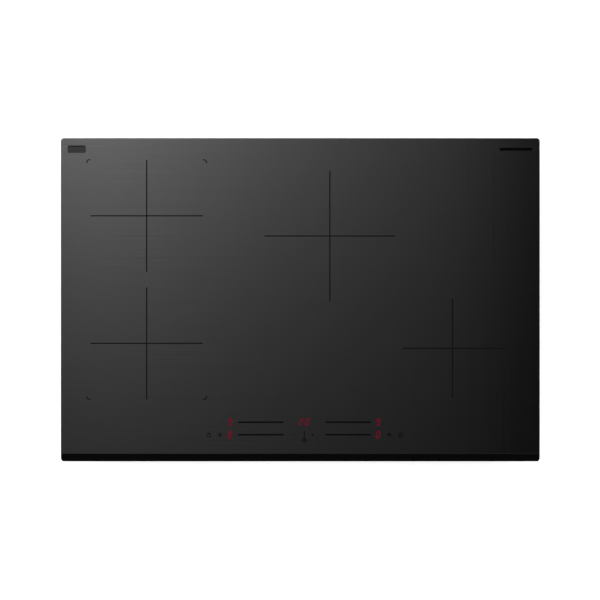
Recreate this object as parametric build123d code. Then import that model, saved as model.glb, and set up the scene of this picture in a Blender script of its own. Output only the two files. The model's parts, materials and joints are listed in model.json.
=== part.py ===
from build123d import *

import os
from math import cos, degrees, radians, sin

# Built-in induction cooktop, 770 x 520 mm, with four cooking zones, as an assembly of its pieces.
#
# Millimetres, +X to the right, +Y to the back, +Z up. The origin is the middle of the worktop plane,
# the underside of the seal. The glass is above it, and the steel tray hangs below it in the cut-out.
#
# From the top down: glass panel, seal, steel rails bonded under the glass; a touch control unit at
# the front; four coil assemblies, each floating on three springs above an aluminium deck; two power
# boards, each with its heatsink and radial blower, and the mains filter and terminal block, on the
# floor of the tray.

# ---- driving dimensions --------------------------------------------------------------------------

GLASS_WIDTH = 770.0
GLASS_DEPTH = 520.0
GLASS_THICKNESS = 4.0
GLASS_CORNER = 5.0
EDGE_CHAMFER = 0.4
FACET_WIDTH = 12.6  # the bevel along the front edge
FACET_LIP = 1.5  # the glass left at the very front

SEAL_THICKNESS = 1.0
SEAL_WIDTH = 6.0
SEAL_INSET = 2.0

TRAY_WIDTH = 736.0
TRAY_DEPTH = 476.0
TRAY_HEIGHT = 53.0
TRAY_CORNER = 14.0
TRAY_BEND = 4.0
SHEET = 1.0

# Zones: the middle of each, and the diameter marked on the glass.
ZONES = {
    "rear_left": ((-247.0, 135.0), 180.0),
    "front_left": ((-247.0, -70.0), 180.0),
    "rear_centre": ((47.5, 102.5), 210.0),
    "front_right": ((244.5, -78.0), 160.0),
}
ZONE_MARGIN = 6.0  # how far a coil's edge lies inside its marked zone
COIL_TRAVEL = 2.5
SPOKES = 8
LUG_ANGLES = (-90.0, 30.0, 150.0)
LUG_REACH = 6.0
LUG_RADIUS = 6.5
STUD_RADIUS = 2.0
WIRE = 3.6
WINDING_INNER = 24.0
HUB_BORE = 8.0
INSULATOR_THICKNESS = 1.7
CARRIER_THICKNESS = 2.5
FERRITE_THICKNESS = 4.0
FERRITE_WIDTH = 12.0
FERRITE_START = 27.0
RIB_DEPTH = 3.0

# Where each coil's two leads go down through the deck, and how far along X their terminal is from there.
LEAD_PLACES = {
    "rear_left": ((-152.0, 52.0), 44.0),
    "front_left": ((-152.0, -46.0), 44.0),
    "rear_centre": ((84.0, -8.0), 21.0),
    "front_right": ((136.0, -58.0), -21.0),
}
LEAD_RADIUS = 1.75
LEAD_SPACING = 8.0
TERMINAL_Z = -34.0

DECK_TOP = -15.0
DECK_GAP = 5.0  # between the deck's edge and the tray's walls
DECK_FLANGE = 8.0
PILLARS = (
    (-348.0, 212.0),
    (348.0, 212.0),
    (-348.0, 32.0),
    (348.0, 32.0),
    (-348.0, -165.0),
    (348.0, -165.0),
    (-30.0, -12.0),
    (40.0, -147.0),
)
PILLAR_RADIUS = 4.5
SNAP_RADIUS = 2.5

CONTROL_X = 6.0  # the control unit's middle, a little right of the glass's
UPPER_ROW_Y = -196.0
LOWER_ROW_Y = -217.0
DIGIT_X = 119.0  # from the control unit's middle to each column of digits
SLIDER_INNER_X = 35.0
SLIDER_OUTER_X = 108.0
PADS_PER_SLIDER = 5
KEY_X = (-153.0, -135.0, -16.0, 0.0, 16.0, 137.0, 154.0)
CONTROL_BOARD_TOP = -6.0
HOLDER_WIDTH = 350.0
HOLDER_DEPTH = 48.0
HOLDER_Y = -208.0
HOLDER_FLOOR = -11.0
HOLDER_WALL = 1.5
HOLDER_POST_X = (-160.0, -53.0, 53.0, 160.0)
RIBBON_X = {"left": -110.0, "right": 110.0}
RIBBON_Y = -190.0
RIBBON_WIDTH = 20.0
RIBBON_THICKNESS = 1.0
RIBBON_Z = -40.0
SOCKET_DEPTH = 8.0

BOARD_X = {"left": -210.0, "right": 210.0}  # middles of the two power boards
BOARD_Y = -10.0
BOARD_WIDTH = 240.0
BOARD_DEPTH = 180.0
BOARD_THICKNESS = 1.6
BOARD_UNDER = -46.0
SINK_X = -62.0  # the heatsink's left side, from its board's middle
SINK_Y = 14.0  # the heatsink's middle, from its board's middle
SINK_WIDTH = 46.0
SINK_LENGTH = 140.0
SINK_HEIGHT = 25.0
SINK_BASE = 3.5
SINK_WALL = 4.0
FINS = 8
FIN_THICKNESS = 1.6
TRANSISTORS = 5
TRANSISTOR_PITCH = 26.0

BLOWER_Y = 150.0
BLOWER_SHIFT = -5.0  # from a board's middle to its blower's axis, along X
BLOWER_HEIGHT = 30.0
BLOWER_WALL = 1.5
INLET_RADIUS = 33.0
SCROLL_RADIUS = 47.0
SCROLL_STEP = 4.0
OUTLET_Y = -62.0
OUTLET_INNER_X = -14.0
STATOR_RADIUS = 13.5
ROTOR_RADIUS = 40.0
BELL_RADIUS = 17.0
BLADES = 28
SHAFT_RADIUS = 1.5
SHAFT_CLEARANCE = 0.05

FILTER_X, FILTER_Y = -65.0, 160.0
FILTER_WIDTH, FILTER_DEPTH = 86.0, 116.0
POST_RADIUS = 3.5
MAINS_Y = 62.0  # the front of each power board's mains socket
MAINS_WIDTH = 14.0
MAINS_HEIGHT = 7.0

# The recess under the terminal block, its opening and its cover.
ACCESS_X, ACCESS_Y = 50.0, 196.0
ACCESS_WIDTH, ACCESS_DEPTH = 112.0, 64.0
ACCESS_LIP = 9.0
RECESS = 3.2
BLOCK_WIDTH = 78.0
BLOCK_DEPTH = 26.0
BLOCK_HEIGHT = 16.0
BLOCK_EAR = 8.0
BLOCK_Y = ACCESS_Y - 6
POLES = 5
GROMMET_X, GROMMET_Z = 50.0, -32.0
GROMMET_BORE = 7.0
GROMMET_NECK = 11.0
GROMMET_FLANGE = 13.0

RAIL_WIDTH = 15.0
RAIL_DROP = 14.0
RAIL_CLEARANCE = 14.0  # between a side rail's ends and the tray's end walls, past its corners
FRONT_RAIL_INNER_X = 190.0  # the front rails leave room for the control unit
REAR_RAIL_X = 350.0
RAIL_SCREW_Z = -8.0
RAIL_SCREW_Y = (-180.0, 0.0, 180.0)
REAR_SCREW_X = (-280.0, -95.0, 95.0, 280.0)
FRONT_SCREW_X = (-280.0, 280.0)

VENT_WIDTH = 3.5
VENT_LENGTH = 24.0
VENT_PITCH = 8.0
VENT_Z = -36.0

CLAMP_Y = (-120.0, 120.0)
CLAMP_TRAVEL = 14.0
CLAMP_THICKNESS = 1.5
CLAMP_GAP = 0.2
CLAMP_WIDTH = 20.0
CLAMP_REACH = 14.0
CLAMP_TOP = -19.0
CLAMP_BOTTOM = -47.0
CLAMP_SCREW_Z = -26.0

SCREW_RADIUS = 1.6
SCREW_LENGTH = 7.0
HEAD_RADIUS = 3.5
HEAD_HEIGHT = 2.2
CLEAR_HOLE = 2.0
TAPPED_HOLE = 1.7

# ---- planes that follow from them ----------------------------------------------------------------

GLASS_UNDER = SEAL_THICKNESS
GLASS_TOP = GLASS_UNDER + GLASS_THICKNESS
TRAY_UNDER = -TRAY_HEIGHT
FLOOR = TRAY_UNDER + SHEET
WALL_X = TRAY_WIDTH / 2
WALL_Y = TRAY_DEPTH / 2
DECK_UNDER = DECK_TOP - SHEET
INSULATOR_UNDER = GLASS_UNDER - INSULATOR_THICKNESS
WINDING_UNDER = INSULATOR_UNDER - WIRE
CARRIER_UNDER = WINDING_UNDER - CARRIER_THICKNESS
STUD_TOP = WINDING_UNDER + 0.5
LEAD_Z = WINDING_UNDER + 2.0
BOARD_TOP = BOARD_UNDER + BOARD_THICKNESS
CONTROL_BOARD_UNDER = CONTROL_BOARD_TOP - BOARD_THICKNESS
BLOWER_TOP = FLOOR + BLOWER_HEIGHT
RECESS_ROOF = TRAY_UNDER + RECESS


# ---- small helpers -------------------------------------------------------------------------------


def block(low, high):
    """A box between two opposite corners."""
    size = [b - a for a, b in zip(low, high)]
    middle = [(a + b) / 2 for a, b in zip(low, high)]
    return Pos(*middle) * Box(*size)


def plate(width, depth, bottom, height, corner, x=0.0, y=0.0):
    """A plate with rounded corners, its middle at x, y."""
    return extrude(Pos(x, y, bottom) * RectangleRounded(width, depth, corner), height)


def rod(radius, bottom, top, x=0.0, y=0.0):
    """An upright cylinder."""
    return extrude(Pos(x, y, bottom) * Circle(radius), top - bottom)


def tube(outer, inner, bottom, top, x=0.0, y=0.0):
    """An upright tube."""
    return extrude(Pos(x, y, bottom) * (Circle(outer) - Circle(inner)), top - bottom)


def polar(radius, angle):
    """A point at a radius and an angle in degrees."""
    return radius * cos(radians(angle)), radius * sin(radians(angle))


def coil_radius(zone):
    """The outer radius of a zone's winding."""
    return ZONES[zone][1] / 2 - ZONE_MARGIN


def lug_places(zone):
    """The middles of a coil's three lugs."""
    (x, y), _ = ZONES[zone]
    reach = coil_radius(zone) + LUG_REACH
    places = []
    for angle in LUG_ANGLES:
        dx, dy = polar(reach, angle)
        places.append((x + dx, y + dy))
    return places


def blower_places():
    """Each blower's axis, by side."""
    return {side: (x + BLOWER_SHIFT, BLOWER_Y) for side, x in BOARD_X.items()}


# ---- glass, seal and rails -----------------------------------------------------------------------


def glass_panel():
    panel = plate(GLASS_WIDTH, GLASS_DEPTH, GLASS_UNDER, GLASS_THICKNESS, GLASS_CORNER)
    panel = chamfer(panel.edges().group_by(Axis.Z)[-1], EDGE_CHAMFER)
    panel = chamfer(panel.edges().group_by(Axis.Z)[0], EDGE_CHAMFER)
    front = -GLASS_DEPTH / 2
    drop = GLASS_THICKNESS - FACET_LIP
    slope = drop / FACET_WIDTH
    overrun = 2.0
    facet = Polyline(
        (front + FACET_WIDTH, GLASS_TOP),
        (front - overrun, GLASS_TOP - drop - slope * overrun),
        (front - overrun, GLASS_TOP + overrun),
        (front + FACET_WIDTH, GLASS_TOP + overrun),
        close=True,
    )
    return panel - extrude(Plane.YZ * make_face(facet), GLASS_WIDTH, both=True)


def worktop_seal():
    width = GLASS_WIDTH - 2 * SEAL_INSET
    depth = GLASS_DEPTH - 2 * SEAL_INSET
    outer = RectangleRounded(width, depth, GLASS_CORNER)
    inner = RectangleRounded(width - 2 * SEAL_WIDTH, depth - 2 * SEAL_WIDTH, SEAL_INSET)
    return extrude(outer - inner, SEAL_THICKNESS)


def rail(length):
    """An angle rail along X: one leg under the glass, the other down the inside of a wall at y 0."""
    top_leg = block((-length / 2, -RAIL_WIDTH, -SHEET), (length / 2, 0, 0))
    wall_leg = block((-length / 2, -SHEET, -RAIL_DROP), (length / 2, 0, 0))
    return top_leg + wall_leg


def rail_holes(places):
    """Cylinders along Y for the screws' holes in a rail, at places along X."""
    turn = Rot(90, 0, 0)
    return [Pos(x, 0, RAIL_SCREW_Z) * turn * Cylinder(TAPPED_HOLE, 4 * SHEET) for x in places]


def side_rails():
    length = TRAY_DEPTH - 2 * SHEET - 2 * RAIL_CLEARANCE
    strip = rail(length) - rail_holes(RAIL_SCREW_Y)
    inside = WALL_X - SHEET
    return [Pos(inside, 0, 0) * Rot(0, 0, -90) * strip, Pos(-inside, 0, 0) * Rot(0, 0, 90) * strip]


def cross_rails():
    inside = WALL_Y - SHEET
    rear = rail(2 * REAR_RAIL_X) - rail_holes(REAR_SCREW_X)
    length = REAR_RAIL_X - FRONT_RAIL_INNER_X
    middle = (REAR_RAIL_X + FRONT_RAIL_INNER_X) / 2
    rails = [Pos(0, inside, 0) * rear]
    for x, screw_x in ((-middle, FRONT_SCREW_X[0]), (middle, FRONT_SCREW_X[1])):
        front = rail(length) - rail_holes([x - screw_x])
        rails.append(Pos(x, -inside, 0) * Rot(0, 0, 180) * front)
    return rails


def frame_adhesive():
    """Beads of silicone between the glass and the rails."""
    width = 10.0
    end_gap = 6.0
    middle = (RAIL_WIDTH + SHEET) / 2
    height = GLASS_UNDER
    side_x = WALL_X - SHEET - middle
    end_y = WALL_Y - SHEET - middle
    side_length = TRAY_DEPTH - 2 * RAIL_CLEARANCE - 2 * end_gap
    rear_length = 2 * REAR_RAIL_X - 2 * end_gap
    front_length = REAR_RAIL_X - FRONT_RAIL_INNER_X - 2 * end_gap
    front_x = (REAR_RAIL_X + FRONT_RAIL_INNER_X) / 2
    round_end = 4.0
    return [
        plate(width, side_length, 0, height, round_end, x=-side_x),
        plate(width, side_length, 0, height, round_end, x=side_x),
        plate(rear_length, width, 0, height, round_end, y=end_y),
        plate(front_length, width, 0, height, round_end, x=-front_x, y=-end_y),
        plate(front_length, width, 0, height, round_end, x=front_x, y=-end_y),
    ]


# ---- tray ----------------------------------------------------------------------------------------

def vents(plane, count):
    """A row of upright slots, cut through a wall whose outside lies in plane."""
    slot = SlotOverall(VENT_LENGTH, VENT_WIDTH, rotation=90)
    row = Sketch() + [place * slot for place in GridLocations(VENT_PITCH, 0, count, 1)]
    return extrude(plane * row, 2 * SHEET, both=True)


def wall_plane(x, y, z, outward):
    """A plane on a wall, with its own X level and its normal outward."""
    return Plane((x, y, z), x_dir=(-outward[1], outward[0], 0), z_dir=(*outward, 0))


def grille(x, y):
    """A blower's inlet: rings of curved slots, as one cutter through the floor."""
    rings = ((9.0, 3), (15.5, 5), (22.0, 7), (28.5, 9))
    slots = []
    for radius, count in rings:
        pitch = 360 / count
        web = degrees(8.5 / radius)  # the metal between two slots, with their round ends
        arc = CenterArc((0, 0), radius, 0, pitch - web)
        slots += [Rot(0, 0, pitch * i) * SlotArc(arc, VENT_WIDTH) for i in range(count)]
    pattern = Sketch() + slots + Circle(2.5)
    return extrude(Pos(x, y, TRAY_UNDER) * pattern, 2 * SHEET, both=True)


def bead(length, x, y, turn=0.0):
    """A bead pressed into the floor: the ridge it makes inside, and the groove it leaves outside."""
    width = 9.0
    depth = 0.9
    ridge = Pos(x, y, FLOOR) * Rot(0, 0, turn) * SlotOverall(length, width)
    groove = Pos(x, y, TRAY_UNDER) * Rot(0, 0, turn) * SlotOverall(length - 2 * SHEET, width - 2 * SHEET)
    return extrude(ridge, depth), extrude(groove, depth)


def screw_places():
    """Every case screw: the middle of its head's underside, and the way its head points."""
    places = []
    for y in RAIL_SCREW_Y:
        places += [((WALL_X, y, RAIL_SCREW_Z), (1, 0)), ((-WALL_X, y, RAIL_SCREW_Z), (-1, 0))]
    places += [((x, WALL_Y, RAIL_SCREW_Z), (0, 1)) for x in REAR_SCREW_X]
    places += [((x, -WALL_Y, RAIL_SCREW_Z), (0, -1)) for x in FRONT_SCREW_X]
    return places


def clamp_screw_places():
    """The four clamp screws, whose heads stand off the wall by the clamp's thickness."""
    reach = WALL_X + CLAMP_GAP + CLAMP_THICKNESS + CLAMP_GAP
    return [((side * reach, y, CLAMP_SCREW_Z), (side, 0)) for side in (-1, 1) for y in CLAMP_Y]


def base_tray():
    outer = plate(TRAY_WIDTH, TRAY_DEPTH, TRAY_UNDER, TRAY_HEIGHT, TRAY_CORNER)
    outer = fillet(outer.edges().group_by(Axis.Z)[0], TRAY_BEND)
    inner_width = TRAY_WIDTH - 2 * SHEET
    inner_depth = TRAY_DEPTH - 2 * SHEET
    inner = plate(inner_width, inner_depth, FLOOR, TRAY_HEIGHT, TRAY_CORNER - SHEET)
    inner = fillet(inner.edges().group_by(Axis.Z)[0], TRAY_BEND - SHEET)
    tray = outer - inner

    beads = [
        bead(420, 0, -212),
        bead(560, 0, -186),
        bead(560, 0, -160),
        bead(560, 0, -134),
        bead(120, -40, 20, 90),
        bead(120, 0, 20, 90),
        bead(120, 40, 20, 90),
    ]
    recess_pad = plate(ACCESS_WIDTH + 6, ACCESS_DEPTH + 6, FLOOR, RECESS, 6, ACCESS_X, ACCESS_Y)
    posts = [
        rod(POST_RADIUS, FLOOR, BOARD_UNDER, FILTER_X + dx * 38, FILTER_Y + dy * 53)
        for dx in (-1, 1)
        for dy in (-1, 1)
    ]
    tray += [ridge for ridge, _ in beads] + [recess_pad] + posts

    recess = plate(ACCESS_WIDTH, ACCESS_DEPTH, TRAY_UNDER, RECESS, 4, ACCESS_X, ACCESS_Y)
    opening_width = ACCESS_WIDTH - 2 * ACCESS_LIP
    opening_depth = ACCESS_DEPTH - 2 * ACCESS_LIP
    opening = plate(opening_width, opening_depth, TRAY_UNDER, 3 * RECESS, 3, ACCESS_X, ACCESS_Y)
    cutters = [groove for _, groove in beads] + [recess, opening]
    cutters += [grille(x, y) for x, y in blower_places().values()]
    for x in BOARD_X.values():
        cutters.append(vents(wall_plane(x, -WALL_Y, VENT_Z, (0, -1)), 25))
        cutters.append(vents(wall_plane(x, WALL_Y, VENT_Z, (0, 1)), 13))
    for side in (-1, 1):
        cutters.append(vents(wall_plane(side * WALL_X, 0, VENT_Z, (side, 0)), 15))
    for (x, y, z), (nx, ny) in screw_places():
        on_wall = wall_plane(x, y, z, (nx, ny))
        cutters.append(extrude(on_wall * Circle(CLEAR_HOLE), 2 * SHEET, both=True))
    for (x, y, z), (nx, ny) in clamp_screw_places():
        on_wall = wall_plane(nx * WALL_X, y, z, (nx, ny))
        cutters.append(extrude(on_wall * Circle(TAPPED_HOLE), 2 * SHEET, both=True))
    for x in cover_screw_x():
        cutters.append(rod(TAPPED_HOLE, TRAY_UNDER, FLOOR + 2 * RECESS, x, ACCESS_Y))
    grommet_hole = wall_plane(GROMMET_X, WALL_Y, GROMMET_Z, (0, 1)) * Circle(GROMMET_NECK)
    cutters.append(extrude(grommet_hole, 2 * SHEET, both=True))
    return tray - cutters


def cover_screw_x():
    """Where the two screws of the terminal cover are, along X."""
    reach = ACCESS_WIDTH / 2 - ACCESS_LIP / 2
    return ACCESS_X - reach, ACCESS_X + reach


def terminal_cover():
    under = RECESS_ROOF - SHEET
    cover = plate(ACCESS_WIDTH - 1, ACCESS_DEPTH - 1, under, SHEET, 3.5, ACCESS_X, ACCESS_Y)
    dish = plate(70, 30, under, SHEET / 2, 8, ACCESS_X, ACCESS_Y)
    holes = [rod(CLEAR_HOLE, under, RECESS_ROOF, x, ACCESS_Y) for x in cover_screw_x()]
    return cover - dish - holes


def case_screw():
    """A pan-head screw along Z, its head's underside at z 0 and its point down."""
    head = rod(HEAD_RADIUS, 0, HEAD_HEIGHT)
    head = fillet(head.edges().group_by(Axis.Z)[-1], 1.2)
    shank = rod(SCREW_RADIUS, -SCREW_LENGTH, 0)
    shank = chamfer(shank.edges().group_by(Axis.Z)[0], 0.8)
    slot = block((-2, -0.45, HEAD_HEIGHT - 1.2), (2, 0.45, HEAD_HEIGHT))
    return head + shank - slot - Rot(0, 0, 90) * slot


def case_screws():
    screw = case_screw()
    placed = []
    for (x, y, z), outward in screw_places() + clamp_screw_places():
        placed.append(wall_plane(x, y, z, outward).location * screw)
    for x in cover_screw_x():
        placed.append(Pos(x, ACCESS_Y, RECESS_ROOF - SHEET) * Rot(180, 0, 0) * screw)
    return placed


# ---- clamps that hold the cooktop down to the worktop --------------------------------------------

def fixing_clamp(side, y):
    """A slotted angle bracket that slides up its screw until its tongue grips the worktop from below."""
    back = WALL_X + CLAMP_GAP
    tongue_top = CLAMP_BOTTOM + CLAMP_THICKNESS
    outline = Polyline(
        (back, CLAMP_TOP),
        (back + CLAMP_THICKNESS, CLAMP_TOP),
        (back + CLAMP_THICKNESS, tongue_top),
        (back + CLAMP_REACH, tongue_top),
        (back + CLAMP_REACH, CLAMP_BOTTOM),
        (back, CLAMP_BOTTOM),
        close=True,
    )
    angle = extrude(Plane.XZ * make_face(outline), CLAMP_WIDTH / 2, both=True)
    bend = angle.edges().filter_by(Axis.Y).sort_by_distance((back, 0, CLAMP_BOTTOM))[0]
    angle = fillet(bend, CLAMP_THICKNESS)
    middle_z = CLAMP_SCREW_Z - CLAMP_TRAVEL / 2
    slot = SlotCenterToCenter(CLAMP_TRAVEL, 2 * CLEAR_HOLE, rotation=90)
    angle -= extrude(wall_plane(back, 0, middle_z, (1, 0)) * slot, 3 * CLAMP_THICKNESS, both=True)
    if side < 0:
        angle = Rot(0, 0, 180) * angle
    return Pos(0, y, 0) * angle


# ---- coil deck, its pillars and the coils --------------------------------------------------------

def coil_deck():
    """The aluminium sheet that carries the coils, with a pressed-in guide stud for each lug."""
    width = TRAY_WIDTH - 2 * SHEET - 2 * DECK_GAP
    depth = TRAY_DEPTH - 2 * SHEET - 2 * DECK_GAP
    corner = TRAY_CORNER - DECK_GAP
    skirt = DECK_TOP - DECK_FLANGE
    sheet = plate(width, depth, skirt, DECK_FLANGE, corner)
    sheet -= plate(width - 2 * SHEET, depth - 2 * SHEET, skirt, DECK_FLANGE - SHEET, corner - SHEET)
    cutters = [rod(SNAP_RADIUS, DECK_UNDER, DECK_TOP, x, y) for x, y in PILLARS]
    for zone, ((x, y), _) in ZONES.items():
        ring = coil_radius(zone) * 0.55
        for i in range(SPOKES):
            dx, dy = polar(ring, 360 / SPOKES * (i + 0.5))
            cutters.append(rod(8.0, DECK_UNDER, DECK_TOP, x + dx, y + dy))
        cutters.append(rod(12.0, DECK_UNDER, DECK_TOP, x, y))
        (lead_x, lead_y), _ = LEAD_PLACES[zone]
        cutters.append(plate(12, 20, DECK_UNDER, SHEET, 5, lead_x, lead_y))
    for x in RIBBON_X.values():
        cutters.append(plate(RIBBON_WIDTH + 6, 7, DECK_UNDER, SHEET, 3, x, RIBBON_Y))
    sheet -= cutters
    places = [place for zone in ZONES for place in lug_places(zone)]
    return sheet + [rod(STUD_RADIUS, DECK_TOP, STUD_TOP, x, y) for x, y in places]


def deck_pillars():
    """Nylon pillars from the tray's floor to the deck, each with a snap head above the deck."""
    pillars = []
    for x, y in PILLARS:
        pillar = rod(PILLAR_RADIUS, FLOOR, DECK_UNDER, x, y)
        neck = rod(SNAP_RADIUS - 0.1, DECK_UNDER, DECK_TOP, x, y)
        snap = rod(SNAP_RADIUS + 0.6, DECK_TOP, DECK_TOP + 1.5, x, y)
        pillars.append(pillar + neck + snap)
    return pillars


def coil_carrier(zone):
    """The moulded wheel that holds a coil: hub, rim, a spoke for each ferrite, and three lugs."""
    (x, y), _ = ZONES[zone]
    radius = coil_radius(zone)
    spoke_width = 18.0
    rim = Circle(radius + 2) - Circle(radius - 5)
    spoke = Pos(radius / 2, 0) * Rectangle(radius - 2, spoke_width)
    wheel = Circle(WINDING_INNER) + rim + [Rot(0, 0, 360 / SPOKES * i) * spoke for i in range(SPOKES)]
    reach = radius + LUG_REACH
    arm = Pos(reach - LUG_REACH, 0) * Rectangle(2 * LUG_REACH, 2 * LUG_RADIUS)
    lug = Pos(reach, 0) * Circle(LUG_RADIUS) + arm
    wheel += [Rot(0, 0, angle) * lug for angle in LUG_ANGLES]
    body = extrude(Pos(0, 0, CARRIER_UNDER) * wheel, CARRIER_THICKNESS)
    rib_side = FERRITE_WIDTH / 2 + 0.2
    rib_under = CARRIER_UNDER - RIB_DEPTH
    rib = block((FERRITE_START, rib_side, rib_under), (radius - 8, rib_side + 1, CARRIER_UNDER))
    ribs = [rib, mirror(rib, Plane.XZ)]
    body += [Rot(0, 0, 360 / SPOKES * i) * part for i in range(SPOKES) for part in ribs]
    body += tube(12, HUB_BORE, rib_under, INSULATOR_UNDER)
    body -= rod(HUB_BORE, rib_under, GLASS_UNDER)
    for angle in LUG_ANGLES:
        body -= rod(STUD_RADIUS + 0.4, CARRIER_UNDER, WINDING_UNDER, *polar(reach, angle))
    return Pos(x, y, 0) * body


def coil_ferrites(zone):
    """Eight radial ferrite bars under a coil's carrier."""
    (x, y), _ = ZONES[zone]
    end = coil_radius(zone) - 8
    bar = block(
        (FERRITE_START, -FERRITE_WIDTH / 2, CARRIER_UNDER - FERRITE_THICKNESS),
        (end, FERRITE_WIDTH / 2, CARRIER_UNDER),
    )
    bar = chamfer(bar.edges().group_by(Axis.Z)[0], 0.6)
    return [Pos(x, y, 0) * Rot(0, 0, 360 / SPOKES * i) * bar for i in range(SPOKES)]


def coil_winding(zone):
    """The flat spiral of stranded wire, as a disc with a groove between each two turns on both faces."""
    (x, y), _ = ZONES[zone]
    radius = coil_radius(zone)
    turns = int((radius - WINDING_INNER) / WIRE)
    pitch = (radius - WINDING_INNER) / turns
    groove = 0.7
    crest = 0.8
    upper = []
    for i in range(turns):
        start = WINDING_INNER + i * pitch
        upper += [
            (start, INSULATOR_UNDER - groove),
            (start + crest, INSULATOR_UNDER),
            (start + pitch - crest, INSULATOR_UNDER),
        ]
    upper.append((radius, INSULATOR_UNDER - groove))
    middle_z = (INSULATOR_UNDER + WINDING_UNDER) / 2
    lower = [(r, 2 * middle_z - z) for r, z in reversed(upper)]
    profile = make_face(Polyline(*upper, *lower, close=True))
    return Pos(x, y, 0) * revolve(Plane.XZ * profile, Axis.Z)


def coil_insulator(zone):
    """The mica and fibre disc between a winding and the glass."""
    (x, y), _ = ZONES[zone]
    return tube(coil_radius(zone), 9.0, INSULATOR_UNDER, GLASS_UNDER, x, y)


def temperature_sensor(zone):
    """The probe in a coil's hub, pressed against the glass."""
    (x, y), _ = ZONES[zone]
    stem = rod(5.0, CARRIER_UNDER - 4, INSULATOR_UNDER, x, y)
    collar = rod(HUB_BORE - 0.1, CARRIER_UNDER, CARRIER_UNDER + 3, x, y)
    tip = rod(HUB_BORE - 0.5, INSULATOR_UNDER - 2, GLASS_UNDER, x, y)
    return stem + collar + tip


def coil_springs(zone):
    """The outer shape of the three springs under a coil's lugs, round their guide studs."""
    return [tube(4.4, 3.2, DECK_TOP, CARRIER_UNDER, x, y) for x, y in lug_places(zone)]


def wire(points, radius, bend):
    """A round wire along straight runs joined by arcs."""
    path = FilletPolyline(*points, radius=bend)
    start = Plane(origin=path @ 0, z_dir=path % 0)
    return sweep(start * Circle(radius), path)


def coil_leads():
    """Two leads for each coil, from its edge down through the deck to a power board's terminal."""
    leads = []
    for zone, ((slot_x, slot_y), run) in LEAD_PLACES.items():
        (x, y), _ = ZONES[zone]
        clear = coil_radius(zone) + 0.4
        away = Vector(slot_x - x, slot_y - y, 0).normalized()
        across = Vector(-away.Y, away.X, 0)
        order = 1 if across.Y > 0 else -1
        for offset in (-LEAD_SPACING / 2, LEAD_SPACING / 2):
            start = Vector(x, y, LEAD_Z) + away * clear + across * (offset * order)
            points = [
                start,
                Vector(slot_x, slot_y + offset, LEAD_Z),
                Vector(slot_x, slot_y + offset, TERMINAL_Z),
                Vector(slot_x + run, slot_y + offset, TERMINAL_Z),
            ]
            leads.append(wire(points, LEAD_RADIUS, 6.0))
    return leads


# ---- control unit --------------------------------------------------------------------------------

def control_holder():
    """The plastic tub that presses the control board up to the glass, on four feet on the deck."""
    height = GLASS_UNDER - 0.5 - HOLDER_FLOOR
    tub = plate(HOLDER_WIDTH, HOLDER_DEPTH, HOLDER_FLOOR, height, 3, CONTROL_X, HOLDER_Y)
    inner_width = HOLDER_WIDTH - 2 * HOLDER_WALL
    inner_depth = HOLDER_DEPTH - 2 * HOLDER_WALL
    inner_floor = HOLDER_FLOOR + HOLDER_WALL
    tub -= plate(inner_width, inner_depth, inner_floor, height, 1.5, CONTROL_X, HOLDER_Y)
    posts = [
        rod(3.0, HOLDER_FLOOR + HOLDER_WALL, CONTROL_BOARD_UNDER, CONTROL_X + x, HOLDER_Y + dy)
        for x in HOLDER_POST_X
        for dy in (-17.0, 17.0)
    ]
    feet = [
        plate(14, 8, DECK_TOP, HOLDER_FLOOR - DECK_TOP, 2, CONTROL_X + dx * 164, HOLDER_Y + dy * 18)
        for dx in (-1, 1)
        for dy in (-1, 1)
    ]
    gap_width = RIBBON_WIDTH + 4
    gaps = [plate(gap_width, 6, HOLDER_FLOOR, HOLDER_WALL, 2, x, RIBBON_Y) for x in RIBBON_X.values()]
    return tub + posts + feet - gaps


def control_board():
    width = HOLDER_WIDTH - 6
    depth = HOLDER_DEPTH - 6
    return plate(width, depth, CONTROL_BOARD_UNDER, BOARD_THICKNESS, 2, CONTROL_X, HOLDER_Y)


def touch_pads():
    """Conductive foam pads from the control board to the glass: a row for each slider, one for each key."""
    pitch = (SLIDER_OUTER_X - SLIDER_INNER_X) / PADS_PER_SLIDER
    places = []
    for side in (-1, 1):
        for i in range(PADS_PER_SLIDER):
            reach = SLIDER_INNER_X + pitch * (i + 0.5)
            places += [(side * reach, UPPER_ROW_Y), (side * reach, LOWER_ROW_Y)]
    places += [(x, LOWER_ROW_Y) for x in KEY_X]
    return [rod(4.0, CONTROL_BOARD_TOP, GLASS_UNDER, CONTROL_X + x, y) for x, y in places]


def digit_displays():
    """Four one-digit displays and the two-digit timer, on the control board under the glass."""
    single = 10.0
    double = 20.0
    depth = 15.0
    height = GLASS_UNDER - CONTROL_BOARD_TOP
    places = [(side * DIGIT_X, y, single) for side in (-1, 1) for y in (UPPER_ROW_Y, LOWER_ROW_Y)]
    places.append((0.0, UPPER_ROW_Y, double))
    displays = []
    for x, y, width in places:
        displays.append(plate(width, depth, CONTROL_BOARD_TOP, height, 0.8, CONTROL_X + x, y))
    return displays


def ribbon_cables():
    """Two flat cables from the control board down through the deck to each power board."""
    end_y = BOARD_Y - BOARD_DEPTH / 2
    bend = 8.0
    sides = []
    for shift in (-RIBBON_THICKNESS / 2, RIBBON_THICKNESS / 2):
        y = RIBBON_Y + shift
        z = RIBBON_Z + shift
        corners = [(y, CONTROL_BOARD_UNDER), (y, z), (end_y, z)]
        sides.append(FilletPolyline(*corners, radius=bend - shift))
    outer, inner = sides
    caps = [Line(outer @ 1, inner @ 1), Line(inner @ 0, outer @ 0)]
    strip = make_face(outer.edges() + inner.edges() + caps)
    ribbon = extrude(Plane.YZ * strip, RIBBON_WIDTH / 2, both=True)
    return [Pos(x, 0, 0) * ribbon for x in RIBBON_X.values()]


# ---- power boards and what stands on them --------------------------------------------------------


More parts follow.
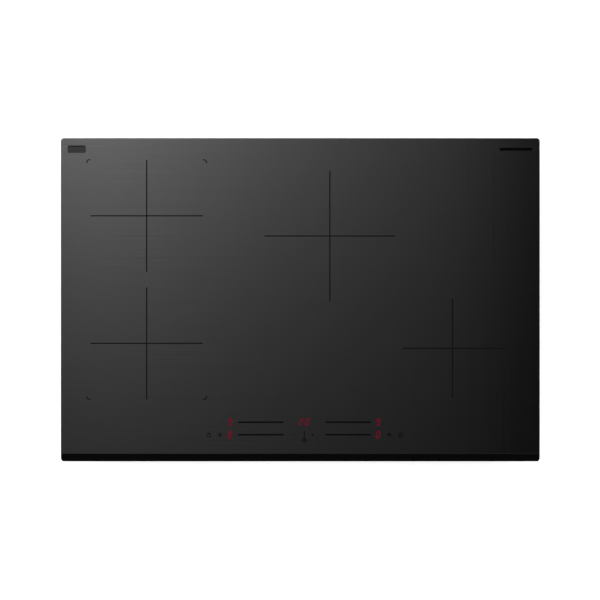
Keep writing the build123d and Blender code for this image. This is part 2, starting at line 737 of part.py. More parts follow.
def board_trays():
    """A plastic tray under each power board: floor, rim and six posts."""
    wall = 1.5
    width = BOARD_WIDTH + 12
    depth = BOARD_DEPTH + 12
    trays = []
    for x in BOARD_X.values():
        tray = plate(width, depth, FLOOR, BOARD_TOP - FLOOR, 5, x, BOARD_Y)
        tray -= plate(width - 2 * wall, depth - 2 * wall, FLOOR + wall, 20, 3.5, x, BOARD_Y)
        posts = [
            rod(4.0, FLOOR + wall, BOARD_UNDER, x + dx * 108, BOARD_Y + dy * 80)
            for dx in (-1, 0, 1)
            for dy in (-1, 1)
        ]
        trays.append(tray + posts)
    return trays


def power_board(side):
    """A power board, its ribbon and mains sockets, and a terminal for each coil it drives."""
    x = BOARD_X[side]
    board = plate(BOARD_WIDTH, BOARD_DEPTH, BOARD_UNDER, BOARD_THICKNESS, 3, x, BOARD_Y)
    front = BOARD_Y - BOARD_DEPTH / 2
    socket_x = RIBBON_X[side]
    low = (socket_x - 13, front, BOARD_TOP)
    high = (socket_x + 13, front + SOCKET_DEPTH, RIBBON_Z + 4)
    inner_edge = (abs(x) - BOARD_WIDTH / 2) * (1 if x > 0 else -1)
    mains_x = sorted((inner_edge, inner_edge + (SOCKET_DEPTH if x > 0 else -SOCKET_DEPTH)))
    mains_low = (mains_x[0], MAINS_Y, BOARD_TOP)
    mains_high = (mains_x[1], MAINS_Y + MAINS_WIDTH, BOARD_TOP + MAINS_HEIGHT)
    parts = [board, block(low, high), block(mains_low, mains_high)]
    for (lead_x, lead_y), run in LEAD_PLACES.values():
        face = lead_x + run
        if abs(face - x) < BOARD_WIDTH / 2:
            near, far = sorted((face, face + (10 if run > 0 else -10)))
            parts.append(block((near, lead_y - 9, BOARD_TOP), (far, lead_y + 9, TERMINAL_Z + 4)))
    return parts


def heatsink(side):
    """An extruded comb of fins in the blower's stream, with a thick wall for the transistors."""
    x = BOARD_X[side] + SINK_X
    middle_z = BOARD_TOP + SINK_HEIGHT / 2
    comb = Pos(x + SINK_WIDTH / 2, BOARD_TOP + SINK_BASE / 2) * Rectangle(SINK_WIDTH, SINK_BASE)
    pitch = (SINK_WIDTH - SINK_WALL - FIN_THICKNESS) / (FINS - 1)
    fin = Rectangle(FIN_THICKNESS, SINK_HEIGHT)
    comb += [Pos(x + FIN_THICKNESS / 2 + i * pitch, middle_z) * fin for i in range(FINS)]
    comb += Pos(x + SINK_WIDTH - SINK_WALL / 2, middle_z) * Rectangle(SINK_WALL, SINK_HEIGHT)
    return Pos(0, BOARD_Y + SINK_Y, 0) * extrude(Plane.XZ * comb, SINK_LENGTH / 2, both=True)


def power_transistors():
    """Five flat packages on each heatsink's thick wall, each with three legs in the board."""
    parts = []
    for board_x in BOARD_X.values():
        wall_x = board_x + SINK_X + SINK_WIDTH
        for i in range(TRANSISTORS):
            y = BOARD_Y + SINK_Y + (i - (TRANSISTORS - 1) / 2) * TRANSISTOR_PITCH
            bottom = BOARD_TOP + 5
            body = block((wall_x, y - 8, bottom), (wall_x + 5, y + 8, bottom + 19))
            body = chamfer(body.edges().filter_by(Axis.Z).group_by(Axis.X)[-1], 0.6)
            legs = [
                block((wall_x + 2, y + dy - 0.6, BOARD_TOP), (wall_x + 2.8, y + dy + 0.6, bottom))
                for dy in (-5.4, 0, 5.4)
            ]
            parts.append(body + legs)
    return parts


def box_capacitor(x, y, width, depth, height):
    body = plate(width, depth, BOARD_TOP, height, 1.5, x, y)
    return fillet(body.edges().group_by(Axis.Z)[-1], 0.8)


def can_capacitor(x, y, radius, height):
    body = rod(radius, BOARD_TOP, BOARD_TOP + height, x, y)
    return fillet(body.edges().group_by(Axis.Z)[-1], 0.8)


def capacitors():
    """Film capacitors (boxes) and electrolytics (cans) of the power boards and the mains filter."""
    parts = []
    for x in BOARD_X.values():
        for y in (BOARD_Y - 62, BOARD_Y + 14):
            parts.append(box_capacitor(x + 14, y + 18, 24, 42, 25))
            parts.append(box_capacitor(x + 46, y - 12, 14, 32, 22))
            parts.append(box_capacitor(x + 64, y - 12, 14, 32, 22))
        for dx, dy in ((88, -72), (88, -57), (104, -72)):
            parts.append(can_capacitor(x + dx, BOARD_Y + dy, 6, 18))
    parts.append(box_capacitor(FILTER_X + 14, FILTER_Y + 38, 30, 18, 24))
    parts.append(box_capacitor(FILTER_X + 14, FILTER_Y - 42, 30, 14, 20))
    return parts


def chokes():
    """Ring-core chokes: one on each power board, and the mains filter's larger one."""
    parts = []
    places = [(x - 92, BOARD_Y + 50, 17.0, 8.0, 14.0) for x in BOARD_X.values()]
    places.append((FILTER_X, FILTER_Y, 24.0, 11.0, 20.0))
    for x, y, outer, inner, height in places:
        ring = tube(outer, inner, BOARD_TOP, BOARD_TOP + height, x, y)
        parts.append(fillet(ring.edges().filter_by(GeomType.CIRCLE), 2.5))
    return parts


# ---- blowers -------------------------------------------------------------------------------------

def volute():
    """The blower's outline: a spiral of three quarter arcs that opens into the outlet at the front."""
    half = SCROLL_STEP / 2
    radii = [SCROLL_RADIUS + i * SCROLL_STEP for i in range(3)]
    arcs = [
        CenterArc((half, half), radii[0], 270, 90),
        CenterArc((-half, half), radii[1], 0, 90),
        CenterArc((-half, -half), radii[2], 90, 90),
    ]
    start = (half, half - radii[0])
    left = -half - radii[2]
    outlet = Polyline(
        (left, -half),
        (left, OUTLET_Y),
        (OUTLET_INNER_X, OUTLET_Y),
        (OUTLET_INNER_X, start[1] - 6),
        start,
    )
    return make_face(arcs + list(outlet.edges()))


def fan_housing(side):
    """A blower's scroll, with the inlet in its floor, and the stator that hangs from its roof."""
    outline = volute()
    shell = extrude(Pos(0, 0, FLOOR) * outline, BLOWER_HEIGHT)
    inner = offset(outline, -BLOWER_WALL)
    hollow = extrude(Pos(0, 0, FLOOR + BLOWER_WALL) * inner, BLOWER_HEIGHT - 2 * BLOWER_WALL)
    box = inner.bounding_box()
    mouth = block(
        (box.min.X, OUTLET_Y - 1, FLOOR + BLOWER_WALL),
        (OUTLET_INNER_X - BLOWER_WALL, box.min.Y + 1, BLOWER_TOP - BLOWER_WALL),
    )
    shell -= [hollow, mouth, rod(INLET_RADIUS, FLOOR, FLOOR + BLOWER_WALL)]
    roof = BLOWER_TOP - BLOWER_WALL
    bearing = SHAFT_RADIUS + SHAFT_CLEARANCE
    boss = tube(9.0, bearing, roof - 2.0, roof)
    shell = shell - rod(bearing, roof, BLOWER_TOP) + boss
    stator = tube(STATOR_RADIUS, bearing, roof - 14.0, roof - 2.0)
    x, y = blower_places()[side]
    return [Pos(x, y, 0) * part for part in (shell, stator)]


def fan_rotor(side):
    """A blower's wheel: shaft, bell round the stator, back plate, curved blades and inlet ring."""
    roof = BLOWER_TOP - BLOWER_WALL
    top = roof - 3.0
    bottom = FLOOR + BLOWER_WALL + 2.0
    skin = 1.2
    bell_floor = roof - 17.0
    blade_arc = ThreePointArc(polar(30.0, 0), polar(34.6, 3.0), polar(38.6, 11.0))
    blade = SlotArc(blade_arc, 1.0)
    blades = Sketch() + [Rot(0, 0, 360 / BLADES * i) * blade for i in range(BLADES)]
    wheel = extrude(Pos(0, 0, bottom) * blades, top - bottom)
    wheel += tube(ROTOR_RADIUS, BELL_RADIUS - skin, top - skin, top)
    wheel += tube(ROTOR_RADIUS, ROTOR_RADIUS - 3.0, bottom, bottom + skin)
    wheel += tube(BELL_RADIUS, BELL_RADIUS - skin, bell_floor, top)
    wheel += rod(BELL_RADIUS, bell_floor - skin, bell_floor)
    wheel += rod(SHAFT_RADIUS, bell_floor, roof - 0.5)
    x, y = blower_places()[side]
    return Pos(x, y, 0) * wheel


# ---- mains input ---------------------------------------------------------------------------------


def filter_board():
    """The mains filter's board, with the socket that feeds both power boards at its front edge."""
    board = plate(FILTER_WIDTH, FILTER_DEPTH, BOARD_UNDER, BOARD_THICKNESS, 3, FILTER_X, FILTER_Y)
    front = FILTER_Y - FILTER_DEPTH / 2
    low = (FILTER_X - 15, front, BOARD_TOP)
    high = (FILTER_X + 31, front + SOCKET_DEPTH, BOARD_TOP + MAINS_HEIGHT)
    return [board, block(low, high)]


def terminal_block():
    """The five-pole terminal block, which spans the access opening with its screws facing down."""
    bottom = FLOOR + RECESS
    body = plate(BLOCK_WIDTH, BLOCK_DEPTH, bottom, BLOCK_HEIGHT, 2, ACCESS_X, BLOCK_Y)
    body += plate(BLOCK_WIDTH + 2 * BLOCK_EAR, BLOCK_DEPTH - 8, bottom, 4, 3, ACCESS_X, BLOCK_Y)
    pitch = BLOCK_WIDTH / POLES
    for i in range(POLES):
        x = ACCESS_X + (i - (POLES - 1) / 2) * pitch
        body -= rod(4.0, bottom, bottom + 8, x, BLOCK_Y)
        wire_hole = wall_plane(x, BLOCK_Y + BLOCK_DEPTH / 2, bottom + 9, (0, 1)) * Circle(3.0)
        body -= extrude(wire_hole, -10)
    return body


def cable_grommet():
    """The rubber bush in the rear wall for the supply cable."""
    inside = -5.0  # its ends, from the wall's outer face
    outside = 8.0
    lip = 3.0
    profile = Polyline(
        (GROMMET_BORE, inside),
        (GROMMET_FLANGE - 1, inside),
        (GROMMET_FLANGE, -SHEET),
        (GROMMET_NECK, -SHEET),
        (GROMMET_NECK, 0),
        (GROMMET_FLANGE, 0),
        (GROMMET_FLANGE, lip),
        (GROMMET_NECK - 1, lip + 1),
        (GROMMET_NECK - 1.5, outside),
        (GROMMET_BORE, outside),
        close=True,
    )
    bush = revolve(Plane.XZ * make_face(profile), Axis.Z)
    return wall_plane(GROMMET_X, WALL_Y, GROMMET_Z, (0, 1)).location * bush


def supply_wires():
    """Wires from the terminal block to the filter, and from the filter to both power boards."""
    radius = 1.6
    wires = []
    entry_x = ACCESS_X - BLOCK_WIDTH / 2
    entry_z = FLOOR + RECESS + 10
    rise_x = entry_x - 13
    rise_z = entry_z + 11
    pad_x = FILTER_X + FILTER_WIDTH / 2 - 4
    for i in range(3):
        y = BLOCK_Y + 7 * (i - 1)
        up = [(entry_x, y, entry_z), (rise_x, y, entry_z), (rise_x, y, rise_z)]
        down = [(pad_x, y, rise_z), (pad_x, y, BOARD_TOP)]
        wires.append(wire(up + down, radius, 3.0))
    front = FILTER_Y - FILTER_DEPTH / 2
    z = BOARD_TOP + 3
    for side, start_x in (("left", FILTER_X - 10), ("right", FILTER_X + 20)):
        inward = 1 if side == "left" else -1
        end_x = BOARD_X[side] + inward * BOARD_WIDTH / 2
        for i in range(2):
            x = start_x + 6 * i
            y = MAINS_Y + MAINS_WIDTH / 2 + inward * (3 - 6 * i)
            wires.append(wire([(x, front, z), (x, y, z), (end_x, y, z)], radius, 8.0))
    return wires


# ---- every node ----------------------------------------------------------------------------------


def nodes():
    """Every node by name: one shape, or a list of separate solids."""
    made = {
        "glass_panel": glass_panel(),
        "worktop_seal": worktop_seal(),
        "frame_adhesive": frame_adhesive(),
        "side_rails": side_rails(),
        "cross_rails": cross_rails(),
        "control_holder": control_holder(),
        "control_board": control_board(),
        "touch_pads": touch_pads(),
        "digit_displays": digit_displays(),
        "ribbon_cables": ribbon_cables(),
        "coil_deck": coil_deck(),
        "deck_pillars": deck_pillars(),
        "coil_leads": coil_leads(),
        "board_trays": board_trays(),
        "power_transistors": power_transistors(),
        "capacitors": capacitors(),
        "chokes": chokes(),
        "filter_board": filter_board(),
        "terminal_block": terminal_block(),
        "cable_grommet": cable_grommet(),
        "terminal_cover": terminal_cover(),
        "supply_wires": supply_wires(),
        "base_tray": base_tray(),
        "case_screws": case_screws(),
    }
    for zone in ZONES:
        made[f"coil_carrier_{zone}"] = coil_carrier(zone)
        made[f"coil_winding_{zone}"] = coil_winding(zone)
        made[f"coil_ferrites_{zone}"] = coil_ferrites(zone)
        made[f"coil_insulator_{zone}"] = coil_insulator(zone)
        made[f"coil_springs_{zone}"] = coil_springs(zone)
        made[f"temperature_sensor_{zone}"] = temperature_sensor(zone)
    for side in BOARD_X:
        made[f"power_board_{side}"] = power_board(side)
        made[f"heatsink_{side}"] = heatsink(side)
        made[f"fan_housing_{side}"] = fan_housing(side)
        made[f"fan_rotor_{side}"] = fan_rotor(side)
    for side, side_name in ((-1, "left"), (1, "right")):
        for y, end_name in zip(CLAMP_Y, ("front", "rear")):
            made[f"fixing_clamp_{end_name}_{side_name}"] = fixing_clamp(side, y)
    return made


def main():
    os.makedirs("parts", exist_ok=True)
    for name, shape in nodes().items():
        solids = shape if isinstance(shape, list) else [shape]
        export_step(Compound([s for part in solids for s in part.solids()]), f"parts/{name}.step")


main()
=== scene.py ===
import json
import math
import random
from itertools import product

import bmesh
import bpy
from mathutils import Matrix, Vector

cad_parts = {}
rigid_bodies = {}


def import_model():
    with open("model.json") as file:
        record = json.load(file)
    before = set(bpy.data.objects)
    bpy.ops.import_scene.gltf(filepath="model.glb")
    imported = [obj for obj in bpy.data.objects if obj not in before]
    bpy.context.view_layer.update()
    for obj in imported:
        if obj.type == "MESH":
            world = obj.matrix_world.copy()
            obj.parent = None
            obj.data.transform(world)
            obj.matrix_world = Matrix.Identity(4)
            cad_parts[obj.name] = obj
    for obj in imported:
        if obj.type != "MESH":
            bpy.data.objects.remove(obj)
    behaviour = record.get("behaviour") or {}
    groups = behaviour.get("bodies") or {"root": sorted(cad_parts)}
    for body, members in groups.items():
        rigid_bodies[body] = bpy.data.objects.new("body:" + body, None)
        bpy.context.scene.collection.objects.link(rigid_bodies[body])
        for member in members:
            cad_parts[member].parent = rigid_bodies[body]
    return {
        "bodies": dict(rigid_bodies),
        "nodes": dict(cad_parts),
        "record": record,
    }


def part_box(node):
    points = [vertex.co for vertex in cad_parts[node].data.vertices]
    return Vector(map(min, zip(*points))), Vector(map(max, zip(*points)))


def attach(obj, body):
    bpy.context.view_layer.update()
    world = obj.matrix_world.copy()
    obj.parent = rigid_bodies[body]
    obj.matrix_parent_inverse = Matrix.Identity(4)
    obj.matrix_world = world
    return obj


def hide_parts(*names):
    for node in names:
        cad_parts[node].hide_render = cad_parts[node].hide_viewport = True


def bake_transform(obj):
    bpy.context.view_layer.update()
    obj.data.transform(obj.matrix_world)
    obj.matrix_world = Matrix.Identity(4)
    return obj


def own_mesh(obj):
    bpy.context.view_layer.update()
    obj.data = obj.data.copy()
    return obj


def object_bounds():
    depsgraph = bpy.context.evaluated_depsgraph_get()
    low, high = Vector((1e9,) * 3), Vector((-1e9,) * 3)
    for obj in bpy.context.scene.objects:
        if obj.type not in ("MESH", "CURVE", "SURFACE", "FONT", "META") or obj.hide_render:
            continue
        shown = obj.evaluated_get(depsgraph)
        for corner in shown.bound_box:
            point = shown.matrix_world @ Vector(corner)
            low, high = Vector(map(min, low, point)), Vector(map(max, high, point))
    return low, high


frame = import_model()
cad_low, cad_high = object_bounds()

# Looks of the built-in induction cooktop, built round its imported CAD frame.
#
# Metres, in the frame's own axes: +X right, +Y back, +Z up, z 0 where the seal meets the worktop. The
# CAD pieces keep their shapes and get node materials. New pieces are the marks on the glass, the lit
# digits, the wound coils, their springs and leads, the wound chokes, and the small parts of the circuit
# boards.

MM = 0.001

glass_low, glass_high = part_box("glass_panel")
GLASS_TOP = glass_high.z
INK_LOW = GLASS_TOP - 0.02 * MM  # inside the glass, so that no two faces lie in one plane
INK_HIGH = GLASS_TOP + 0.04 * MM

mounts = {mount["name"]: Vector(mount["pos_m"]) for mount in frame["record"]["mounts"]}
ZONE_NAMES = [body[len("coil_"):] for body in frame["bodies"] if body.startswith("coil_")]
ZONES = {zone: mounts["cooking_zone_" + zone] for zone in ZONE_NAMES}


# ---- node helpers --------------------------------------------------------------------------------

BANDS_AT_SCALE_ONE = 3.18  # of the wave texture, in a metre


class Nodes:
    """A node tree, and the ways its nodes are made and joined."""

    def __init__(self, tree):
        self.tree = tree

    def feed(self, socket, value):
        """A socket gets a value, or a link from another node's output."""
        if isinstance(value, bpy.types.NodeSocket):
            self.tree.links.new(value, socket)
        else:
            socket.default_value = value

    def node(self, kind, inputs, **settings):
        """The outputs of a new node, with its settings made and its inputs fed."""
        made = self.tree.nodes.new(kind)
        for key, value in settings.items():
            setattr(made, key, value)
        for key, value in inputs.items():
            self.feed(made.inputs[key], value)
        return made.outputs

    def maths(self, operation, first, second=0.0):
        return self.node("ShaderNodeMath", {0: first, 1: second}, operation=operation)[0]

    def plus(self, first, second):
        return self.maths("ADD", first, second)

    def times(self, first, second):
        return self.maths("MULTIPLY", first, second)

    def span(self, value, low, high, start=0.0, end=1.0, **settings):
        """value, from start..end, to low..high."""
        inputs = {"Value": value, "From Min": start, "From Max": end, "To Min": low, "To Max": high}
        return self.node("ShaderNodeMapRange", inputs, **settings)["Result"]

    def split(self, vector):
        """A vector's parts, by the names X, Y and Z."""
        return self.node("ShaderNodeSeparateXYZ", {0: vector})


class Look(Nodes):
    """A material being built: its nodes, its shader, and the coordinates its patterns use."""

    def __init__(self, name, colour, roughness, metallic=0.0, specular=0.5):
        self.material = bpy.data.materials.new(name)
        self.material.use_nodes = True
        super().__init__(self.material.node_tree)
        self.shader = self.tree.nodes["Principled BSDF"]
        self.put("Base Color", (*colour, 1.0))
        self.put("Roughness", roughness)
        self.put("Metallic", metallic)
        self.put("Specular IOR Level", specular)
        self.place = self.node("ShaderNodeTexCoord", {})["Object"]

    def put(self, socket, value):
        """A value, or another node's output, for one of the shader's own sockets."""
        self.feed(self.shader.inputs[socket], value)

    def stretched(self, x, y, z):
        """The object's coordinates, in pattern cells per metre along each axis."""
        return self.node("ShaderNodeMapping", {"Vector": self.place, "Scale": (x, y, z)})["Vector"]

    def noise(self, x, y, z, detail=3.0, roughness=0.5):
        place = self.stretched(x, y, z)
        inputs = {"Vector": place, "Scale": 1.0, "Detail": detail, "Roughness": roughness}
        return self.node("ShaderNodeTexNoise", inputs)["Fac"]

    def grain(self, scale, detail):
        """Noise of the same scale along every axis."""
        return self.noise(scale, scale, scale, detail)

    def cells(self, scale, output="Color", squash=1.0):
        place = self.stretched(scale, scale, scale * squash)
        return self.node("ShaderNodeTexVoronoi", {"Vector": place, "Scale": 1.0})[output]

    def wave(self, direction, cycles):
        """Bands across one axis, so many to the metre."""
        inputs = {"Vector": self.place, "Scale": cycles / BANDS_AT_SCALE_ONE}
        return self.node("ShaderNodeTexWave", inputs, bands_direction=direction)["Fac"]

    def blend(self, factor, first, second):
        """A colour between two colours, by a factor."""
        first, second = ((*c, 1.0) if isinstance(c, tuple) else c for c in (first, second))
        return self.node("ShaderNodeMix", {"Factor": factor, 6: first, 7: second}, data_type="RGBA")[2]

    def colour(self, factor, first, second):
        self.put("Base Color", self.blend(factor, first, second))

    def shades(self, factor, tone, dark, pale):
        """The colour goes between a darker and a paler shade of one tone."""
        self.colour(factor, shade(tone, dark), shade(tone, pale))

    def rough(self, factor, low, high):
        self.put("Roughness", self.span(factor, low, high))

    def bump(self, height, distance, strength=1.0):
        inputs = {"Strength": strength, "Distance": distance, "Height": height}
        self.put("Normal", self.node("ShaderNodeBump", inputs)["Normal"])


def shade(colour, factor):
    return tuple(c * factor for c in colour)


# ---- materials -----------------------------------------------------------------------------------

FACET_WIDTH = 12.6 * MM
FACET_TONE = (0.0026, 0.0026, 0.0028)
FACET_ROUGHNESS = 0.06
GLASS_TONES = (0.0002, 0.0002, 0.0002), (0.0024, 0.0024, 0.0026)
GLASS_RELIEF = 0.085 * MM
GLOW_TONES = (0.75, 0.004, 0.060), (1.0, 0.008, 0.090)
GLOW = 0.165


def glass_look(name):
    """Satin dark glass-ceramic with a faint woven relief, and a polished bevel along the front.

    The relief is streaks along X and across them, with fine hairlines along X on top.
    """
    look = Look(name, (0.0012, 0.0012, 0.0013), 0.20)
    hairline = look.noise(6, 900, 6, detail=5.0, roughness=0.65)
    streak = look.noise(3, 300, 3, detail=4.0, roughness=0.6)
    cross_streak = look.noise(300, 3, 3, detail=4.0, roughness=0.6)
    cloud = look.grain(9, 3.0)
    on_facet = look.maths("LESS_THAN", look.split(look.place)["Y"], glass_low.y + FACET_WIDTH)
    off_facet = look.maths("SUBTRACT", 1.0, on_facet)
    satin = look.plus(look.span(hairline, 0.12, 0.17, 0.35, 0.65), look.span(cloud, -0.01, 0.01))
    roughness = look.plus(look.times(satin, off_facet), look.times(on_facet, FACET_ROUGHNESS))
    look.put("Roughness", roughness)
    woven = look.plus(look.times(streak, 0.6), look.times(cross_streak, 0.4))
    tone = look.blend(look.span(woven, 0, 1, 0.38, 0.62), *GLASS_TONES)
    look.colour(on_facet, tone, FACET_TONE)
    relief = look.plus(woven, look.times(hairline, 0.1))
    look.bump(look.times(relief, off_facet), GLASS_RELIEF)
    return look.material


def ink_look(name, tone, roughness, specular):
    look = Look(name, tone, roughness, specular=specular)
    grain = look.grain(1500, 2.0)
    look.shades(grain, tone, 0.7, 1.4)
    look.rough(grain, roughness - 0.05, roughness + 0.05)
    return look.material


def digit_look(name):
    """A lit red stroke of a digit: a grainy glow, with almost no gloss over it."""
    look = Look(name, (0.004, 0.0004, 0.0008), 0.5, specular=0.03)
    grain = look.grain(500, 2.0)
    look.put("Emission Color", look.blend(grain, *GLOW_TONES))
    look.put("Emission Strength", GLOW)
    look.colour(grain, (0.003, 0.0003, 0.0006), (0.006, 0.0006, 0.0010))
    look.rough(grain, 0.45, 0.6)
    return look.material


def foam_look(name, tone):
    look = Look(name, tone, 0.9, specular=0.2)
    pores = look.cells(900, output="Distance")
    look.shades(pores, tone, 0.5, 1.5)
    look.rough(pores, 0.82, 0.97)
    look.bump(pores, 0.25 * MM, 0.6)
    return look.material


def galvanised_look(name, tone):
    """Galvanised sheet: flat crystals of slightly different grey, and fine rolling lines."""
    look = Look(name, tone, 0.4, metallic=0.85)
    spangle = look.node("ShaderNodeRGBToBW", {0: look.cells(150)})[0]
    rolled = look.noise(15, 15, 700, detail=4.0)
    mottle = look.grain(40, 5.0)
    mixed = look.plus(look.times(spangle, 0.7), look.times(mottle, 0.3))
    look.shades(look.span(mixed, 0, 1, 0.15, 0.85), tone, 0.84, 1.12)
    look.rough(look.times(mixed, look.span(rolled, 0.8, 1.2)), 0.28, 0.52)
    look.bump(look.plus(mixed, rolled), 0.02 * MM, 0.5)
    return look.material


LINES_ALONG_X = (20, 1200, 1200)
LINES_ALONG_Y = (1200, 20, 1200)


def brushed_look(name, tone, scale):
    """Metal with fine lines along one axis: the pattern is long that way and narrow across it."""
    look = Look(name, tone, 0.32, metallic=1.0)
    lines = look.noise(*scale, detail=4.0, roughness=0.6)
    smear = look.grain(25, 4.0)
    look.shades(smear, tone, 0.82, 1.1)
    look.rough(lines, 0.22, 0.44)
    look.bump(lines, 0.01 * MM, 0.5)
    return look.material


def plated_look(name, tone, roughness=0.28):
    """Small plated steel parts: a faint warm-cool drift and tiny pits."""
    look = Look(name, tone, roughness, metallic=1.0)
    drift = look.grain(90, 4.0)
    pits = look.grain(2500, 2.0)
    look.colour(drift, shade(tone, 0.8), (tone[0] * 1.12, tone[1] * 1.1, tone[2]))
    look.rough(pits, roughness - 0.06, roughness + 0.14)
    look.bump(pits, 0.01 * MM, 0.4)
    return look.material


def plastic_look(name, tone, roughness=0.48, grain_scale=1400):
    """Moulded plastic with a spark-eroded grain."""
    look = Look(name, tone, roughness, specular=0.45)
    grain = look.grain(grain_scale, 2.0)
    flow = look.grain(22, 3.0)
    look.shades(flow, tone, 0.86, 1.1)
    look.rough(grain, roughness - 0.07, roughness + 0.1)
    look.bump(grain, 0.03 * MM, 0.5)
    return look.material


def rubber_look(name, tone):
    look = Look(name, tone, 0.75, specular=0.3)
    bloom = look.grain(45, 5.0)
    grain = look.grain(1800, 2.0)
    look.shades(bloom, tone, 0.7, 1.5)
    look.rough(bloom, 0.62, 0.85)
    look.bump(grain, 0.03 * MM, 0.5)
    return look.material


BOARD_TOP = -44.4 * MM  # the power boards'
BOARD_SKIN = 0.2 * MM
SOCKET_TONE = (0.62, 0.60, 0.54)


def board_look(name, tone, copper, top=None):
    """Solder resist over etched copper, in straight blocks, and pale sockets above the board's top."""
    look = Look(name, tone, 0.38, specular=0.5)
    tones = {"Color1": (1, 1, 1, 1), "Color2": (0.7, 0.7, 0.7, 1), "Mortar": (0, 0, 0, 1)}
    inputs = {"Vector": look.stretched(60, 210, 1), "Scale": 1.0, "Mortar Size": 0.06, **tones}
    tracks = look.node("ShaderNodeTexBrick", inputs)["Color"]
    weave = look.cells(1600, output="Distance")
    resist = look.blend(tracks, tone, copper)
    if top is None:
        look.put("Base Color", resist)
    else:
        moulded = look.maths("GREATER_THAN", look.split(look.place)["Z"], top + BOARD_SKIN)
        look.colour(moulded, resist, SOCKET_TONE)
    look.rough(weave, 0.3, 0.48)
    look.bump(tracks, 0.04 * MM, 0.4)
    return look.material


def litz_look(name):
    """Enamelled strands, twisted round each other."""
    look = Look(name, (0.55, 0.22, 0.09), 0.36, metallic=0.85)
    strands = look.cells(1500, output="Distance", squash=0.6)
    drift = look.grain(60, 3.0)
    look.colour(drift, (0.40, 0.13, 0.05), (0.66, 0.29, 0.12))
    look.rough(strands, 0.26, 0.5)
    look.bump(strands, 0.2 * MM, 0.7)
    return look.material


def sleeve_look(name, tone):
    """Braided sleeving."""
    look = Look(name, tone, 0.6, specular=0.35)
    braid = look.times(look.wave("DIAGONAL", 1500), look.cells(1300, output="Distance"))
    look.shades(braid, tone, 0.6, 1.3)
    look.rough(braid, 0.5, 0.72)
    look.bump(braid, 0.12 * MM, 0.6)
    return look.material


def ceramic_look(name, tone, roughness, grain_scale=700):
    look = Look(name, tone, roughness, specular=0.4)
    grain = look.cells(grain_scale, output="Distance")
    drift = look.grain(35, 5.0)
    look.shades(drift, tone, 0.78, 1.14)
    look.rough(grain, roughness - 0.12, roughness + 0.1)
    look.bump(grain, 0.05 * MM, 0.4)
    return look.material


def ribbon_look(name):
    """Flat cable: a ridge for each of its conductors."""
    look = Look(name, (0.42, 0.43, 0.45), 0.5, specular=0.4)
    ridges = look.wave("X", 790)
    look.colour(ridges, (0.30, 0.31, 0.33), (0.50, 0.51, 0.53))
    look.rough(ridges, 0.42, 0.6)
    look.bump(ridges, 0.25 * MM, 0.7)
    return look.material


RESIST_TONES = (0.010, 0.075, 0.030), (0.014, 0.105, 0.042)
DARK_RESIST_TONES = (0.008, 0.010, 0.010), (0.016, 0.020, 0.020)
# Each look: how it is made, and its values.
RECIPES = {
    "glass_ceramic": (glass_look,),
    "print_black": (ink_look, (0.0035, 0.0035, 0.0038), 0.55, 0.06),
    "print_deep": (ink_look, (0.0012, 0.0012, 0.0014), 0.65, 0.02),
    "print_grey": (ink_look, (0.010, 0.010, 0.0105), 0.24, 0.22),
    "lit_digit": (digit_look,),
    "seal_foam": (foam_look, (0.016, 0.016, 0.017)),
    "touch_foam": (foam_look, (0.03, 0.03, 0.032)),
    "silicone": (rubber_look, (0.20, 0.20, 0.21)),
    "galvanised_steel": (galvanised_look, (0.33, 0.345, 0.36)),
    "clamp_steel": (plated_look, (0.40, 0.41, 0.42)),
    "screw_steel": (plated_look, (0.42, 0.42, 0.40)),
    "spring_steel": (plated_look, (0.58, 0.58, 0.60), 0.22),
    "deck_aluminium": (brushed_look, (0.66, 0.67, 0.68), LINES_ALONG_X),
    "heatsink_aluminium": (brushed_look, (0.60, 0.61, 0.62), LINES_ALONG_Y),
    "white_plastic": (plastic_look, (0.70, 0.69, 0.64)),
    "black_plastic": (plastic_look, (0.018, 0.018, 0.020)),
    "circuit_board": (board_look, *RESIST_TONES, BOARD_TOP),
    "control_circuit_board": (board_look, *DARK_RESIST_TONES),
    "display": (plastic_look, (0.012, 0.008, 0.008), 0.2),
    "ribbon": (ribbon_look,),
    "litz_wire": (litz_look,),
    "lead_sleeve": (sleeve_look, (0.42, 0.035, 0.02)),
    "wire_insulation": (plastic_look, (0.02, 0.07, 0.25), 0.42, 2500),
    "ferrite": (ceramic_look, (0.022, 0.022, 0.024), 0.5),
    "mica": (ceramic_look, (0.58, 0.53, 0.42), 0.6, 260),
    "sensor_body": (ceramic_look, (0.74, 0.72, 0.66), 0.45),
    "transistor_body": (plastic_look, (0.012, 0.012, 0.013), 0.4),
    "capacitor_body": (plastic_look, (0.52, 0.33, 0.05), 0.32),
    "choke": (plated_look, (0.50, 0.19, 0.07), 0.26),
    "choke_core": (ceramic_look, (0.12, 0.20, 0.10), 0.5),
    "grommet_rubber": (rubber_look, (0.012, 0.012, 0.012)),
    "solder": (plated_look, (0.66, 0.66, 0.67), 0.35),
}
LOOKS = {name: make(name, *values) for name, (make, *values) in RECIPES.items()}


def paint(thing, look):
    """Every material slot of a piece gets one look."""
    thing.data.materials.clear()
    thing.data.materials.append(LOOKS[look])


slot_of = {part["node"]: part["material_slot"] for part in frame["record"]["subparts"]}
for name, node in frame["nodes"].items():
    paint(node, slot_of[name])


# ---- mesh helpers --------------------------------------------------------------------------------

SAME_PLACE = 1e-6
MITRE_LIMIT = 0.3  # how thin a mitre may get, as the cosine of half its turn


def new_object(name, data):
    made = bpy.data.objects.new(name, data)
    bpy.context.scene.collection.objects.link(made)
    return made


def mesh_object(name, bm):
    """An object that holds a bmesh's mesh. The bmesh is used up."""
    mesh = bpy.data.meshes.new(name)
    bm.to_mesh(mesh)
    bm.free()
    return new_object(name, mesh)


